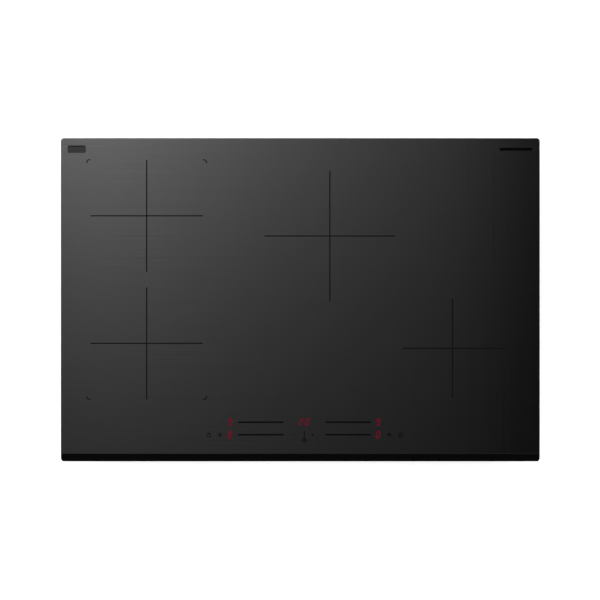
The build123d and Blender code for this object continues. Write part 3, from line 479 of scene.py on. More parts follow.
def finish_piece(name, bm, look, body, smooth_angle=30.0):
    """Turns a bmesh into a piece with a look, riding on a body."""
    bmesh.ops.recalc_face_normals(bm, faces=bm.faces)
    piece = mesh_object(name, bm)
    piece.data.shade_smooth()
    piece.data.set_sharp_from_angle(angle=math.radians(smooth_angle))
    paint(piece, look)
    if body is not None:
        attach(piece, body)
    return piece


def solids_of(node):
    """Each separate solid of a CAD node: its vertices' indices, and its lowest and highest corners."""
    bm = bmesh.new()
    bm.from_mesh(frame["nodes"][node].data)
    bmesh.ops.remove_doubles(bm, verts=bm.verts, dist=SAME_PLACE)
    bm.verts.ensure_lookup_table()
    seen, solids = set(), []
    for start in bm.verts:
        if start in seen:
            continue
        seen.add(start)
        found, todo = [], [start]
        while todo:
            vert = todo.pop()
            found.append(vert.index)
            for edge in vert.link_edges:
                other = edge.other_vert(vert)
                if other not in seen:
                    seen.add(other)
                    todo.append(other)
        places = [bm.verts[i].co for i in found]
        low = Vector([min(p[k] for p in places) for k in range(3)])
        high = Vector([max(p[k] for p in places) for k in range(3)])
        solids.append((found, low, high))
    return bm, sorted(solids, key=lambda solid: tuple(solid[1]))


def boxes_of(node):
    """The lowest and highest corners of each separate solid of a CAD node."""
    bm, solids = solids_of(node)
    bm.free()
    return [(low, high) for _, low, high in solids]


def printed_area(bm, outline):
    """Ink over an outline of (x, y) points, as a closed thin solid."""
    lower = [bm.verts.new((x, y, INK_LOW)) for x, y in outline]
    upper = [bm.verts.new((x, y, INK_HIGH)) for x, y in outline]
    bm.faces.new(list(reversed(lower)))
    bm.faces.new(upper)
    count = len(outline)
    for i in range(count):
        j = (i + 1) % count
        bm.faces.new((lower[i], lower[j], upper[j], upper[i]))


def offset_pair(points, i, half, closed):
    """The two edge points of a line at one of its points, mitred."""
    count = len(points)
    here = Vector(points[i])
    before = Vector(points[i - 1]) if closed or i > 0 else None
    after = Vector(points[(i + 1) % count]) if closed or i < count - 1 else None
    into = (here - before).normalized() if before is not None else (after - here).normalized()
    out = (after - here).normalized() if after is not None else into
    normal_in = Vector((-into.y, into.x))
    normal_out = Vector((-out.y, out.x))
    mitre = (normal_in + normal_out).normalized()
    reach = half / max(MITRE_LIMIT, mitre.dot(normal_in))
    return here + mitre * reach, here - mitre * reach


def printed_line(bm, points, width, closed=False):
    """Ink along points, as a closed thin solid."""
    pairs = [offset_pair(points, i, width / 2, closed) for i in range(len(points))]
    rings = []
    for left, right in pairs:
        corners = [(left, INK_LOW), (right, INK_LOW), (right, INK_HIGH), (left, INK_HIGH)]
        rings.append([bm.verts.new((p.x, p.y, z)) for p, z in corners])
    count = len(rings)
    last = count if closed else count - 1
    for i in range(last):
        first, second = rings[i], rings[(i + 1) % count]
        for k in range(4):
            m = (k + 1) % 4
            bm.faces.new((first[k], second[k], second[m], first[m]))
    if not closed:
        bm.faces.new(list(reversed(rings[0])))
        bm.faces.new(rings[-1])


def arc(x, y, radius, start, end, steps=16):
    """Points along an arc, angles in degrees."""
    angles = [math.radians(start + (end - start) * i / steps) for i in range(steps + 1)]
    return [(x + radius * math.cos(a), y + radius * math.sin(a)) for a in angles]


def ring(x, y, radius, steps=32):
    return arc(x, y, radius, 0, 360, steps)[:-1]


# A rectangle's corners: the side of each in x and y, and where its arc starts, in degrees.
CORNERS = ((1, 1, 0), (-1, 1, 90), (-1, -1, 180), (1, -1, 270))


def rounded(x, y, width, depth, corner, steps=6):
    """The outline of a rounded rectangle about x, y."""
    right, back = width / 2 - corner, depth / 2 - corner
    outline = []
    for side_x, side_y, start in CORNERS:
        outline += arc(x + side_x * right, y + side_y * back, corner, start, start + 90, steps)
    return outline


def rectangle(low_x, low_y, high_x, high_y):
    return [(low_x, low_y), (high_x, low_y), (high_x, high_y), (low_x, high_y)]


def bevelled_box(bm, x, y, width, depth, bottom, top, bevel):
    """A box about x, y with a flat bevel along each edge."""
    low = (x - width / 2, y - depth / 2, bottom)
    high = (x + width / 2, y + depth / 2, top)
    verts = {}
    for corner in product((0, 1), repeat=3):
        for axis in range(3):
            place = [(high[k] if corner[k] else low[k]) for k in range(3)]
            for k in range(3):
                if k != axis:
                    place[k] += -bevel if corner[k] else bevel
            verts[corner, axis] = bm.verts.new(place)
    for axis in range(3):
        others = [k for k in range(3) if k != axis]
        for first in ((0, 0), (0, 1), (1, 1), (1, 0)):
            ends = []
            for side in (0, 1):
                corner = [side, side, side]
                corner[others[0]], corner[others[1]] = first
                ends.append(tuple(corner))
            one, other = ends
            bm.faces.new([verts[one, others[0]], verts[other, others[0]],
                          verts[other, others[1]], verts[one, others[1]]])
        for side in (0, 1):
            loop = []
            for pair in ((0, 0), (0, 1), (1, 1), (1, 0)):
                corner = [side, side, side]
                corner[others[0]], corner[others[1]] = pair
                loop.append(verts[tuple(corner), axis])
            bm.faces.new(loop)
    for corner in product((0, 1), repeat=3):
        bm.faces.new([verts[corner, axis] for axis in range(3)])


def turned(bm, x, y, profile, steps):
    """A solid turned about an upright axis, from (radius, z) points that start and end on it."""
    rings = []
    for radius, z in profile:
        circle = ring(x, y, radius, steps) if radius > 0 else [(x, y)]
        rings.append([bm.verts.new((px, py, z)) for px, py in circle])
    for lower, upper in zip(rings, rings[1:]):
        for i in range(steps):
            j = (i + 1) % steps
            corners = [lower[i % len(lower)], lower[j % len(lower)]]
            corners += [upper[j % len(upper)], upper[i % len(upper)]]
            unique = list(dict.fromkeys(corners))
            if len(unique) > 2:
                bm.faces.new(unique)


def tube_along(bm, points, radius, sides=8, squash=1.0):
    """A capped tube along 3-D points, with its section's height squashed."""
    rings = []
    side = None
    befores, afters = points[:1] + points[:-1], points[1:] + points[-1:]
    for point, before, after in zip(points, befores, afters):
        along = (after - before).normalized()
        if side is None:
            side = along.cross(Vector((0, 0, 1)))
            if side.length < SAME_PLACE:
                side = Vector((1, 0, 0))
        side = (side - along * side.dot(along)).normalized()
        over = side.cross(along).normalized()
        section = [side * across + over * (squash * up) for across, up in ring(0, 0, radius, sides)]
        rings.append([bm.verts.new(point + offset) for offset in section])
    for first, second in zip(rings, rings[1:]):
        for k in range(sides):
            m = (k + 1) % sides
            bm.faces.new((first[k], first[m], second[m], second[k]))
    bm.faces.new(list(reversed(rings[0])))
    bm.faces.new(rings[-1])


# ---- marks on the glass --------------------------------------------------------------------------

CROSS_WIDTH = 1.9 * MM
BRIDGE_HALF_WIDTH = 96.0 * MM
BRIDGE_CORNER = 3.2 * MM
BRIDGE_LEG = 2.4 * MM
BRIDGE_LINE = 1.5 * MM
ZONE_MARGIN = 6 * MM  # from a coil's edge to its marked zone's
ZONE_RADII = {}
for zone in ZONES:
    coil_low, coil_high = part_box("coil_insulator_" + zone)
    ZONE_RADII[zone] = round((coil_high.x - coil_low.x) / 2 + ZONE_MARGIN, 4)


def finish_mark(name, bm, look):
    finish_piece(name, bm, look, "housing")


def zone_crosses():
    bm = bmesh.new()
    half = CROSS_WIDTH / 2
    for zone, middle in ZONES.items():
        reach = ZONE_RADII[zone]
        x, y = middle.x, middle.y
        printed_area(bm, rectangle(x - reach, y - half, x + reach, y + half))
        for low, high in ((y - reach, y - half), (y + half, y + reach)):
            printed_area(bm, rectangle(x - half, low, x + half, high))
    finish_mark("zone_crosses", bm, "print_black")


def bridge_marks():
    """A rounded corner mark at each corner of the two left zones' common field."""
    bm = bmesh.new()
    low, high = ZONES["front_left"], ZONES["rear_left"]
    front = low.y - ZONE_RADII["front_left"]
    back = high.y + ZONE_RADII["rear_left"]
    for side_x, side_y, start in CORNERS:
        x = low.x + side_x * (BRIDGE_HALF_WIDTH - BRIDGE_CORNER)
        y = (back if side_y > 0 else front) - side_y * BRIDGE_CORNER
        corner = arc(x, y, BRIDGE_CORNER, start, start + 90, 8)
        first, last = Vector(corner[0]), Vector(corner[-1])
        legs = [Vector((0, -side_y * BRIDGE_LEG)), Vector((-side_x * BRIDGE_LEG, 0))]
        if side_x != side_y:
            legs.reverse()
        printed_line(bm, [first + legs[0], *corner, last + legs[1]], BRIDGE_LINE)
    finish_mark("bridge_marks", bm, "print_deep")


# The controls: their middle, their two rows, and the sliders' own middle and reach to each side.
CONTROL_X = 6 * MM
UPPER_ROW = -196.7 * MM
LOWER_ROW = -216.9 * MM
SLIDER_X = 6.8 * MM
SLIDER_NEAR = 33.6 * MM
SLIDER_FAR = 107 * MM
SLIDER_WIDTH = 2.3 * MM
ROUND_END = 0.49  # of a line's width


def slider_lines():
    bm = bmesh.new()
    length = SLIDER_FAR - SLIDER_NEAR
    for side in (-1, 1):
        x = SLIDER_X + side * (SLIDER_NEAR + SLIDER_FAR) / 2
        for y in (UPPER_ROW, LOWER_ROW):
            printed_area(bm, rounded(x, y, length, SLIDER_WIDTH, SLIDER_WIDTH * ROUND_END))
    finish_mark("slider_lines", bm, "print_deep")


LINE = 0.9 * MM  # the line width of the key symbols


def bar(bm, x, y, width, depth, corner):
    printed_area(bm, rounded(x, y, width, depth, corner, 3))


def symbol_lock(bm, x, y):
    body, shackle, legs = y - 1.4 * MM, y + 1.4 * MM, y + 0.9 * MM
    radius = 1.6 * MM
    printed_line(bm, rounded(x, body, 5.6 * MM, 4.4 * MM, 0.6 * MM), LINE, closed=True)
    bow = arc(x, shackle, radius, 0, 180, 10)
    printed_line(bm, [(x + radius, legs), *bow, (x - radius, legs)], LINE)


def symbol_pause(bm, x, y):
    for side in (-1, 1):
        bar(bm, x + side * 1.4 * MM, y, 1.5 * MM, 6.4 * MM, 0.4 * MM)


def symbol_minus(bm, x, y):
    bar(bm, x, y, 4.4 * MM, 0.8 * MM, 0.3 * MM)


def symbol_plus(bm, x, y):
    arm, half = 2.2 * MM, 0.4 * MM
    outline = []
    for cos, sin in ((1, 0), (0, 1), (-1, 0), (0, -1)):
        for px, py in ((arm, -half), (arm, half), (half, half)):
            outline.append((x + cos * px - sin * py, y + sin * px + cos * py))
    printed_area(bm, outline)


def symbol_clock(bm, x, y):
    """The timer's key: a clock face, with a tick between it and the digits."""
    face = y - 9.0 * MM
    printed_line(bm, ring(x, face, 2.9 * MM), 1.3 * MM, closed=True)
    printed_line(bm, [(x + 1.6 * MM, face), (x, face), (x, face + 2.0 * MM)], LINE)
    bar(bm, x, y + 0.6 * MM, 1.3 * MM, 10.5 * MM, 0.6 * MM)


def symbol_boost(bm, x, y):
    """Two chevrons, one over the other."""
    reach, rise = 3.2 * MM, 2.2 * MM
    for foot in (y - 2.4 * MM, y + 0.4 * MM):
        printed_line(bm, [(x - reach, foot), (x, foot + rise), (x + reach, foot)], 1.2 * MM)


def symbol_power(bm, x, y):
    printed_line(bm, arc(x, y - 0.3 * MM, 3.0 * MM, 125, 415, 24), 1.1 * MM)
    bar(bm, x, y + 1.8 * MM, 1.1 * MM, 3.8 * MM, 0.4 * MM)


# The keys, and how far each is from the middle of the controls.
KEYS = (
    (symbol_lock, -153 * MM),
    (symbol_pause, -135 * MM),
    (symbol_minus, -16.6 * MM),
    (symbol_clock, 0.5 * MM),
    (symbol_plus, 13 * MM),
    (symbol_boost, 137 * MM),
    (symbol_power, 155 * MM),
)


def key_symbols():
    bm = bmesh.new()
    for draw, reach in KEYS:
        draw(bm, CONTROL_X + reach, LOWER_ROW)
    finish_mark("key_symbols", bm, "print_deep")


def corner_badge():
    """A blank badge in the rear left corner: a grey field in a dark rim that is heavier at the back."""
    x, y = glass_low.x + 25.5 * MM, glass_high.y - 17.8 * MM
    width, depth, corner = 29 * MM, 11.6 * MM, 2.0 * MM
    rim, brow = 0.6 * MM, 2.0 * MM
    bm = bmesh.new()
    field_y = y - (brow - rim) / 2
    printed_area(bm, rounded(x, field_y, width - 2 * rim, depth - rim - brow, corner - rim))
    finish_mark("badge_field", bm, "print_grey")
    bm = bmesh.new()
    printed_line(bm, rounded(x, y, width - rim, depth - rim, corner - rim / 2), rim, closed=True)
    finish_mark("badge_rim", bm, "print_black")
    bm = bmesh.new()
    line = brow - rim * 1.1
    brow_y = y + depth / 2 - rim - line / 2
    printed_area(bm, rounded(x, brow_y, width - 2.4 * rim, line * 0.94, 0.3 * MM))
    finish_mark("badge_brow", bm, "print_black")


def plain_bar():
    """A plain dark bar in the rear right corner."""
    width, depth, corner = 52 * MM, 4.6 * MM, 0.5 * MM
    x, y = glass_high.x - 12.5 * MM - width / 2, glass_high.y - 18 * MM
    bm = bmesh.new()
    printed_area(bm, rounded(x, y, width, depth, corner))
    finish_mark("plain_bar", bm, "print_deep")


# Which of the seven segments each digit lights: top, upper right, lower right, bottom, lower left,
# upper left, middle.
SEGMENTS = {
    "0": (1, 1, 1, 1, 1, 1, 0),
    "2": (1, 1, 0, 1, 1, 0, 1),
    "8": (1, 1, 1, 1, 1, 1, 1),
    "9": (1, 1, 1, 1, 0, 1, 1),
}
DIGIT_HEIGHT = 12.6 * MM
DIGIT_WIDTH = 7.0 * MM
SEGMENT_WIDTH = 2.2 * MM
SEGMENT_GAP = 0.12  # of its width, at each end
SLANT = math.tan(math.radians(9))
DIGIT_REACH = 119 * MM
TIMER_REACH = 5.2 * MM
TIMER_ROW = UPPER_ROW + 0.5 * MM
# Each digit, and how far it is from the middle of the controls, and its row.
DIGITS = (
    ("9", -DIGIT_REACH, UPPER_ROW),
    ("8", -DIGIT_REACH, LOWER_ROW),
    ("9", DIGIT_REACH, UPPER_ROW),
    ("0", DIGIT_REACH, LOWER_ROW),
    ("2", -TIMER_REACH, TIMER_ROW),
    ("0", TIMER_REACH, TIMER_ROW),
)


def segment_outline(start, end):
    """One segment of a digit, pointed at both ends."""
    along = (end - start).normalized()
    across = Vector((-along.y, along.x)) * (SEGMENT_WIDTH / 2)
    tip = along * (SEGMENT_WIDTH / 2)
    gap = along * (SEGMENT_GAP * SEGMENT_WIDTH)
    start, end = start + gap, end - gap
    near, far = start + tip, end - tip
    return [start, near - across, far - across, end, far + across, near + across]


def draw_digit(bm, digit, x, y):
    half_w = (DIGIT_WIDTH - SEGMENT_WIDTH) / 2
    half_h = (DIGIT_HEIGHT - SEGMENT_WIDTH) / 2
    top_left, top_right = Vector((-half_w, half_h)), Vector((half_w, half_h))
    left, right = Vector((-half_w, 0)), Vector((half_w, 0))
    bottom_left, bottom_right = -top_right, -top_left
    segments = (
        (top_left, top_right), (right, top_right), (bottom_right, right), (bottom_left, bottom_right),
        (bottom_left, left), (left, top_left), (left, right),
    )
    for lit, (start, end) in zip(SEGMENTS[digit], segments):
        if lit:
            outline = segment_outline(start, end)
            printed_area(bm, [(x + px + py * SLANT, y + py) for px, py in outline])


def display_digits():
    bm = bmesh.new()
    for digit, reach, y in DIGITS:
        draw_digit(bm, digit, CONTROL_X + reach, y)
    finish_piece("display_digits", bm, "lit_digit", "housing")


zone_crosses()
bridge_marks()
slider_lines()
key_symbols()
corner_badge()
plain_bar()
display_digits()


# ---- coils ---------------------------------------------------------------------------------------

WIRE_GAP = 0.12 * MM
WIRE_HEIGHT = 0.97  # of the CAD winding's
WINDING_INNER = 24 * MM
SPRING_WIRE = 0.55 * MM  # its radius
SPRING_TURNS = 6.0
SPRING_CLOSED = 0.9  # turns that lie on the next, at each end
LEAD_STEP = 8 * MM  # edges longer than this are divided
LEAD_END = 5 * MM  # below a lead's top: the nearest coil to this stretch owns it


def on_circle(x, y, radius, turn, z):
    """A point of an upright helix about x, y, so many turns from its start."""
    angle = 2 * math.pi * turn
    return Vector((x + radius * math.cos(angle), y + radius * math.sin(angle), z))


def litz_winding(zone):
    """The coil's flat spiral of stranded wire, from its inner end in the hub to its outer end."""
    low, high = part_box("coil_winding_" + zone)
    middle = ZONES[zone]
    outer = (high.x - low.x) / 2
    wire = high.z - low.z
    turns = int((outer - WINDING_INNER) / wire)
    pitch = (outer - WINDING_INNER) / turns
    radius = pitch / 2 - WIRE_GAP / 2
    start_r, end_r = WINDING_INNER + pitch / 2, outer - pitch / 2
    z = (low.z + high.z) / 2
    per_turn = 72
    count = int((turns - 1) * per_turn)
    points = []
    for i in range(count + 1):
        r = start_r + (end_r - start_r) * i / count
        points.append(on_circle(middle.x, middle.y, r, i / per_turn, z))
    bm = bmesh.new()
    tube_along(bm, points, radius, sides=10, squash=WIRE_HEIGHT * wire / 2 / radius)
    piece = finish_piece("litz_winding_" + zone, bm, "litz_wire", "coil_" + zone, 60)
    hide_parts("coil_winding_" + zone)


def coil_springs(zone):
    """Three compression springs with close end turns, round their guide studs."""
    bm = bmesh.new()
    node = "coil_springs_" + zone
    per_turn = 20
    rise = SPRING_WIRE * 2.1  # of a turn that lies on the next
    open_turns = SPRING_TURNS - 2 * SPRING_CLOSED
    for low, high in boxes_of(node):
        x, y = (low.x + high.x) / 2, (low.y + high.y) / 2
        coil = (high.x - low.x) / 2 - SPRING_WIRE
        bottom, top = low.z + SPRING_WIRE, high.z - SPRING_WIRE
        open_rise = top - bottom - 2 * rise * SPRING_CLOSED
        points = []
        for i in range(int(SPRING_TURNS * per_turn) + 1):
            turn = i / per_turn
            closed = min(turn, SPRING_CLOSED) + max(turn - SPRING_TURNS + SPRING_CLOSED, 0.0)
            risen = min(max((turn - SPRING_CLOSED) / open_turns, 0.0), 1.0)
            points.append(on_circle(x, y, coil, turn, bottom + rise * closed + open_rise * risen))
        tube_along(bm, points, SPRING_WIRE)
    piece = finish_piece("spring_set_" + zone, bm, "spring_steel", "housing", 60)
    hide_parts(node)
    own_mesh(piece)


def coil_leads():
    """Each coil's two sleeved leads, with their long edges divided."""
    bm, solids = solids_of("coil_leads")
    owners = {zone: set() for zone in ZONES}
    for verts, low, high in solids:
        upper = [bm.verts[i].co.xy for i in verts if bm.verts[i].co.z > high.z - LEAD_END]
        gaps = [((place - middle.xy).length, zone) for place in upper for zone, middle in ZONES.items()]
        owners[min(gaps)[1]].update(verts)
    for zone, verts in owners.items():
        part = bm.copy()
        part.verts.ensure_lookup_table()
        others = [v for v in part.verts if v.index not in verts]
        bmesh.ops.delete(part, geom=others, context="VERTS")
        long_edges = [e for e in part.edges if e.calc_length() > LEAD_STEP]
        bmesh.ops.subdivide_edges(part, edges=long_edges, cuts=10, use_grid_fill=True)
        piece = finish_piece("lead_pair_" + zone, part, "lead_sleeve", None, 60)
        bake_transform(piece)
        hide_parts("coil_leads")
    bm.free()


for zone in ZONES:
    litz_winding(zone)
    coil_springs(zone)
coil_leads()

# ---- chokes and board parts ----------------------------------------------------------------------

CHOKE_BORE = 0.46  # of its radius
CHOKE_WIRE = 1.05 * MM  # its radius
CHOKE_PITCH = 2.5  # wire radii, at the bore
CHOKE_WOUND = 0.88  # of the ring


def choke(core, winding, low, high, halves):
    """A ring core with its wire wound round it, in one run or in two opposite halves."""
    middle = (low + high) / 2
    outer = (high.x - low.x) / 2
    inner = outer * CHOKE_BORE
    height = high.z - low.z
    reach_r, reach_z = (outer - inner) / 2 - 2 * CHOKE_WIRE, height / 2 - 2 * CHOKE_WIRE
    ring_r = (outer + inner) / 2
    section = rounded(ring_r, 0, 2 * reach_r, 2 * reach_z, 1.2 * MM, 3)
    steps = 48
    rings = []
    for i in range(steps):
        places = [on_circle(middle.x, middle.y, r, i / steps, middle.z + z) for r, z in section]
        rings.append([core.verts.new(place) for place in places])
    for first, second in zip(rings, rings[1:] + rings[:1]):
        for k in range(len(section)):
            m = (k + 1) % len(section)
            core.faces.new((first[k], second[k], second[m], first[m]))
    bore = 2 * math.pi * (inner + CHOKE_WIRE)
    turns = int(bore / (CHOKE_PITCH * CHOKE_WIRE) / halves * CHOKE_WOUND)
    per_turn = 20
    count = turns * per_turn
    for half in range(halves):
        points = []
        for i in range(count + 1):
            turn = (half + (1 - CHOKE_WOUND) / 2 + CHOKE_WOUND * i / count) / halves
            lie = 2 * math.pi * i / per_turn
            out, up = math.cos(lie), math.sin(lie)
            r = ring_r + math.copysign(abs(out) ** 0.5, out) * (reach_r + CHOKE_WIRE)
            z = middle.z + math.copysign(abs(up) ** 0.5, up) * (reach_z + CHOKE_WIRE)
            points.append(on_circle(middle.x, middle.y, r, turn, z))
        tube_along(winding, points, CHOKE_WIRE, sides=6)


def chokes():
    cores, windings = bmesh.new(), bmesh.new()
    places = boxes_of("chokes")
    largest = max(high.x - low.x for low, high in places)
    for low, high in places:
        choke(cores, windings, low, high, 2 if high.x - low.x == largest else 1)
    core = finish_piece("choke_cores", cores, "choke_core", "housing")
    winding = finish_piece("choke_windings", windings, "choke", "housing", 60)
    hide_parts("chokes")
    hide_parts("chokes")


def chip(bodies, metal, x, y, z, width, depth):
    """A resistor or capacitor soldered flat on the board, with a metal cap at each end."""
    cap = 0.22 * max(width, depth)
    if width > depth:
        end_x, end_y, size = width / 2 - cap / 2, 0, (cap, depth)
    else:
        end_x, end_y, size = 0, depth / 2 - cap / 2, (width, cap)
    rise = 0.7 * MM
    body = width - 0.2 * end_x, depth - 0.2 * end_y
    bevelled_box(bodies, x, y, *body, z, z + rise * 0.9, 0.08 * MM)
    for side in (-1, 1):
        bevelled_box(metal, x + side * end_x, y + side * end_y, *size, z, z + rise, 0.1 * MM)


LEG_PITCH = 1.27 * MM


def package(bodies, metal, x, y, z, width, depth):
    """A chip in a flat package, with a row of bent legs along each long side."""
    along_x = width > depth
    rise, leg = 1.7 * MM, 0.45 * MM
    long, short = max(width, depth), min(width, depth)
    body = short * 0.66
    size = (long, body) if along_x else (body, long)
    bevelled_box(bodies, x, y, *size, z + 0.15 * MM, z + rise, 0.2 * MM)
    count = int(long / LEG_PITCH)
    near, knee, far = body / 2, body / 2 + (short - body) / 4, short / 2
    bends = (
        (near, knee + leg / 2, 0.8 * MM, 1.05 * MM),
        (knee - leg / 2, knee + leg / 2, 0.0, 1.05 * MM),
        (knee, far, 0.0, 0.25 * MM),
    )
    for side, i, (start, end, low, high) in product((-1, 1), range(count), bends):
        place = (i - (count - 1) / 2) * LEG_PITCH, side * (start + end) / 2
        size = leg, end - start
        if not along_x:
            place, size = place[::-1], size[::-1]
        bevelled_box(metal, x + place[0], y + place[1], *size, z + low, z + high, 0.05 * MM)


def can(bodies, metal, x, y, z, width, depth):
    """A small electrolytic capacitor: a sleeved can on a square foot, with a bare top."""
    side, foot, top = min(width, depth), z + 0.9 * MM, z + 7 * MM
    bevelled_box(bodies, x, y, side, side, z, foot, 0.3 * MM)
    neck, barrel, crown = side * 0.40, side * 0.47, side * 0.42
    turned(metal, x, y, [(0, foot), (neck, foot), (neck, z + 1.6 * MM), (barrel, z + 2.1 * MM),
                         (barrel, top - 0.4 * MM), (crown, top), (0, top)], 20)


# How the small parts of the boards are drawn, and their sizes in millimetres.
LONG_PACKAGE = package, (10.4, 6.2)
SHORT_PACKAGE = package, (5.2, 6.2)
CAN = can, (6.3, 6.3)
LARGE_CHIP = chip, (3.2, 1.6)
SMALL_CHIP = chip, (2.0, 1.25)

# How many of them stand on each kind of board, besides the parts that have nodes.
POWER_PARTS = ((LONG_PACKAGE, 4), (SHORT_PACKAGE, 7), (CAN, 5), (LARGE_CHIP, 30), (SMALL_CHIP, 46))
FILTER_PARTS = ((CAN, 5), (LARGE_CHIP, 30))
CONTROL_PARTS = ((LONG_PACKAGE, 3), (SHORT_PACKAGE, 4), (LARGE_CHIP, 24), (SMALL_CHIP, 30))

# The nodes that stand on the boards or reach down to them.
ON_BOARDS = (
    "capacitors", "chokes", "power_transistors", "heatsink_left", "heatsink_right", "supply_wires",
    "fan_housing_left", "fan_housing_right", "terminal_block", "deck_pillars",
)


def small_parts(name, low, high, occupied, seed, parts):
    """Small parts set out square on a board's top, clear of its edges and of what stands there."""
    draw = random.Random(seed)
    bodies, metal = bmesh.new(), bmesh.new()
    taken = [(a.x, a.y, b.x, b.y) for a, b in occupied]
    grid, gap, edge, tries = 1.0 * MM, 0.8 * MM, 4 * MM, 60

    def place(start, end, size):
        """A place on the grid, with room for the part's size inside the board's edge."""
        return round(draw.uniform(start + edge + size / 2, end - edge - size / 2) / grid) * grid

    for (make, size), count in parts:
        for _ in range(count):
            for _ in range(tries):
                width, depth = (v * MM for v in (size if draw.random() < 0.5 else size[::-1]))
                x = place(low.x, high.x, width)
                y = place(low.y, high.y, depth)
                left, right = x - width / 2 - gap, x + width / 2 + gap
                front, back = y - depth / 2 - gap, y + depth / 2 + gap
                if all(right < t[0] or left > t[2] or back < t[1] or front > t[3] for t in taken):
                    make(bodies, metal, x, y, high.z, width, depth)
                    taken.append((left, front, right, back))
                    break
    finish_piece("board_chips_" + name, bodies, "transistor_body", "housing")
    finish_piece("board_contacts_" + name, metal, "solder", "housing")


def fill_boards():
    """Small parts on the two power boards, the filter board and the control board."""
    standing = [box for node in ON_BOARDS for box in boxes_of(node)]
    boards = (("power_board_left", 1, POWER_PARTS), ("power_board_right", 2, POWER_PARTS),
              ("filter_board", 3, FILTER_PARTS))
    for node, seed, parts in boards:
        solids = boxes_of(node)
        board = max(solids, key=lambda box: (box[1] - box[0]).xy.length)
        occupied = standing + [box for box in solids if box is not board]
        small_parts(node, *board, occupied, seed, parts)
    (board,) = boxes_of("control_board")
    occupied = boxes_of("touch_pads") + boxes_of("digit_displays")
    small_parts("control_board", *board, occupied, 9, CONTROL_PARTS)


chokes()
fill_boards()

# ---- floor, light and camera ---------------------------------------------------------------------

SPAN_AT_GLASS = 0.9645  # how wide the view is at the glass
LENS = 85.0
SENSOR = 36.0
CAMERA_PLACE = (-0.5 * MM, -0.3 * MM, GLASS_TOP + SPAN_AT_GLASS * LENS / SENSOR)

FLOOR_REACH = 12.0
FLOOR_DROP = 0.1 * MM
FLOOR_GLOW = 0.55
BACKDROP_RADIUS = 11.0
BACKDROP_HEIGHT = 12.0
BACKDROP_DROP = 1.0
BACKDROP_GLOW = 1.2
KEY_PLACE = (-1.9, -1.5, 1.9)
KEY_SIZE = 1.6
KEY_POWER = 13

# The panel overhead. Leans are tangents from straight up: its light falls off as the exponential of
# these. Each edge is a lean, the two values that it fades between, and its level at each of them.
PANEL_BRIGHTNESS = 0.755
PANEL_FALL_X = -5.2
PANEL_FALL_Y = 6.0
PANEL_FALL_XY = -10.0
PANEL_LIMIT = 2.2  # of the exponent
PANEL_EDGES = (
    ("X", -0.26, -0.145, 0.0, 1.0),
    ("X", 0.124, 0.168, 1.0, 0.0),
    ("Y", -0.28, -0.14, 0.0, 1.0),
    ("Y", 0.18, 0.30, 1.0, 0.0),
)
LEAST_HEIGHT = 0.2  # that a lean is divided by
CEILING_BRIGHTNESS = 0.008

# Round the ceiling is a bright ring, and under it are walls with two brighter washes. The fades are in
# the height of a direction: two heights, and the level at each of them.
RING_BRIGHTNESS = 2.3
RING_MIDDLE = (0.05, -0.16, 1.0)
RING_START, RING_FULL = 33, 44  # degrees from its middle
RING_FOOT = (0.45, 0.70, 0.0, 1.0)
WALL_BRIGHTNESS = 0.28
WALL_FADES = ((0.02, 0.20, 0.3, 1.0), (0.05, 0.50, 1.0, 0.2))
WASHES = ((-0.35, 0.94), (0.94, -0.35))
WASH_SPREAD = (0.55, 0.98)
WASH_BRIGHTNESS = 0.75


def floor_look():
    look = Look("studio_floor", (0.93, 0.93, 0.93), 0.9, specular=0.1)
    grain = look.grain(30, 3.0)
    look.colour(grain, (0.92, 0.92, 0.92), (0.94, 0.94, 0.94))
    look.put("Emission Color", (1, 1, 1, 1))
    look.put("Emission Strength", FLOOR_GLOW)
    return look.material


def studio_floor():
    bm = bmesh.new()
    bmesh.ops.create_grid(bm, x_segments=8, y_segments=8, size=FLOOR_REACH)
    floor = mesh_object("studio_floor", bm)
    floor.location.z = cad_low.z - FLOOR_DROP
    floor.data.materials.append(floor_look())


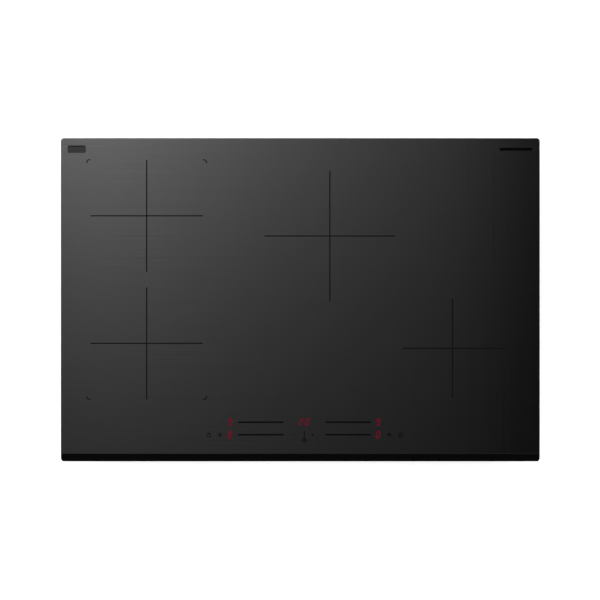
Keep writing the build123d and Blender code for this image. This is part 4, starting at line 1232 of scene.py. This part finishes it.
def studio_world():
    """A soft panel in a dark ceiling, brightest at its rear left, then a bright ring, then low walls."""
    world = bpy.data.worlds.new("studio")
    bpy.context.scene.world = world
    world.use_nodes = True
    world.node_tree.nodes.clear()
    sky = Nodes(world.node_tree)
    direction = sky.node("ShaderNodeTexCoord", {})["Generated"]
    axes = sky.split(direction)

    def fade(value, start, end, low, high):
        """low up to start, high from end, and a smooth change between them."""
        return sky.span(value, low, high, start, end, interpolation_type="SMOOTHSTEP")

    def facing(x, y, z=0.0):
        """1 where the direction is the given one, and less the further it is from it."""
        inputs = {0: direction, 1: Vector((x, y, z)).normalized()}
        return sky.node("ShaderNodeVectorMath", inputs, operation="DOT_PRODUCT")["Value"]

    height = sky.maths("MAXIMUM", axes["Z"], LEAST_HEIGHT)
    leans = {axis: sky.maths("DIVIDE", axes[axis], height) for axis in "XY"}
    fall = sky.plus(sky.times(leans["X"], PANEL_FALL_X), sky.times(leans["Y"], PANEL_FALL_Y))
    fall = sky.plus(fall, sky.times(sky.times(leans["X"], leans["Y"]), PANEL_FALL_XY))
    rise = sky.maths("EXPONENT", sky.maths("MINIMUM", fall, PANEL_LIMIT))
    panel = sky.times(rise, PANEL_BRIGHTNESS)
    for axis, *edge in PANEL_EDGES:
        panel = sky.times(panel, fade(leans[axis], *edge))

    full, start = (math.cos(math.radians(angle)) for angle in (RING_FULL, RING_START))
    outside = fade(facing(*RING_MIDDLE), full, start, 1.0, 0.0)
    level = WALL_BRIGHTNESS
    for wash in WASHES:
        level = sky.plus(level, fade(facing(*wash), *WASH_SPREAD, 0.0, WASH_BRIGHTNESS))
    for limits in WALL_FADES:
        level = sky.times(level, fade(axes["Z"], *limits))
    on_ring = fade(axes["Z"], *RING_FOOT)
    wall = sky.times(sky.maths("SUBTRACT", 1.0, on_ring), level)
    wall = sky.plus(sky.times(on_ring, RING_BRIGHTNESS), wall)
    total = sky.plus(sky.plus(sky.times(outside, wall), panel), CEILING_BRIGHTNESS)

    background = sky.node("ShaderNodeBackground", {"Color": (1, 1, 1, 1), "Strength": total})[0]
    sky.node("ShaderNodeOutputWorld", {0: background})


def backdrop():
    """A white wall all round that only the camera sees: it lights nothing and shows in no gloss."""
    look = Look("backdrop", (0, 0, 0), 1.0, specular=0.0)
    look.put("Emission Color", (1, 1, 1, 1))
    look.put("Emission Strength", BACKDROP_GLOW)
    bm = bmesh.new()
    bmesh.ops.create_circle(bm, segments=64, radius=BACKDROP_RADIUS)
    raised = bmesh.ops.extrude_edge_only(bm, edges=bm.edges[:])["geom"]
    upper = [item for item in raised if isinstance(item, bmesh.types.BMVert)]
    bmesh.ops.translate(bm, vec=(0, 0, BACKDROP_HEIGHT), verts=upper)
    wall = mesh_object("backdrop", bm)
    wall.location.z = cad_low.z - BACKDROP_DROP
    wall.data.materials.append(look.material)
    for ray in ("diffuse", "glossy", "transmission", "volume_scatter", "shadow"):
        setattr(wall, "visible_" + ray, False)


def key_light():
    data = bpy.data.lights.new("key", "AREA")
    data.size = KEY_SIZE
    data.energy = KEY_POWER
    light = new_object("key", data)
    light.location = KEY_PLACE
    light.rotation_euler = (-Vector(KEY_PLACE)).to_track_quat("-Z", "Y").to_euler()


def camera_above():
    data = bpy.data.cameras.new("camera")
    data.lens = LENS
    data.sensor_width = SENSOR
    camera = new_object("camera", data)
    camera.location = CAMERA_PLACE
    bpy.context.scene.camera = camera


studio_floor()
backdrop()
studio_world()
key_light()
camera_above()
bpy.context.scene.view_settings.view_transform = "Standard"
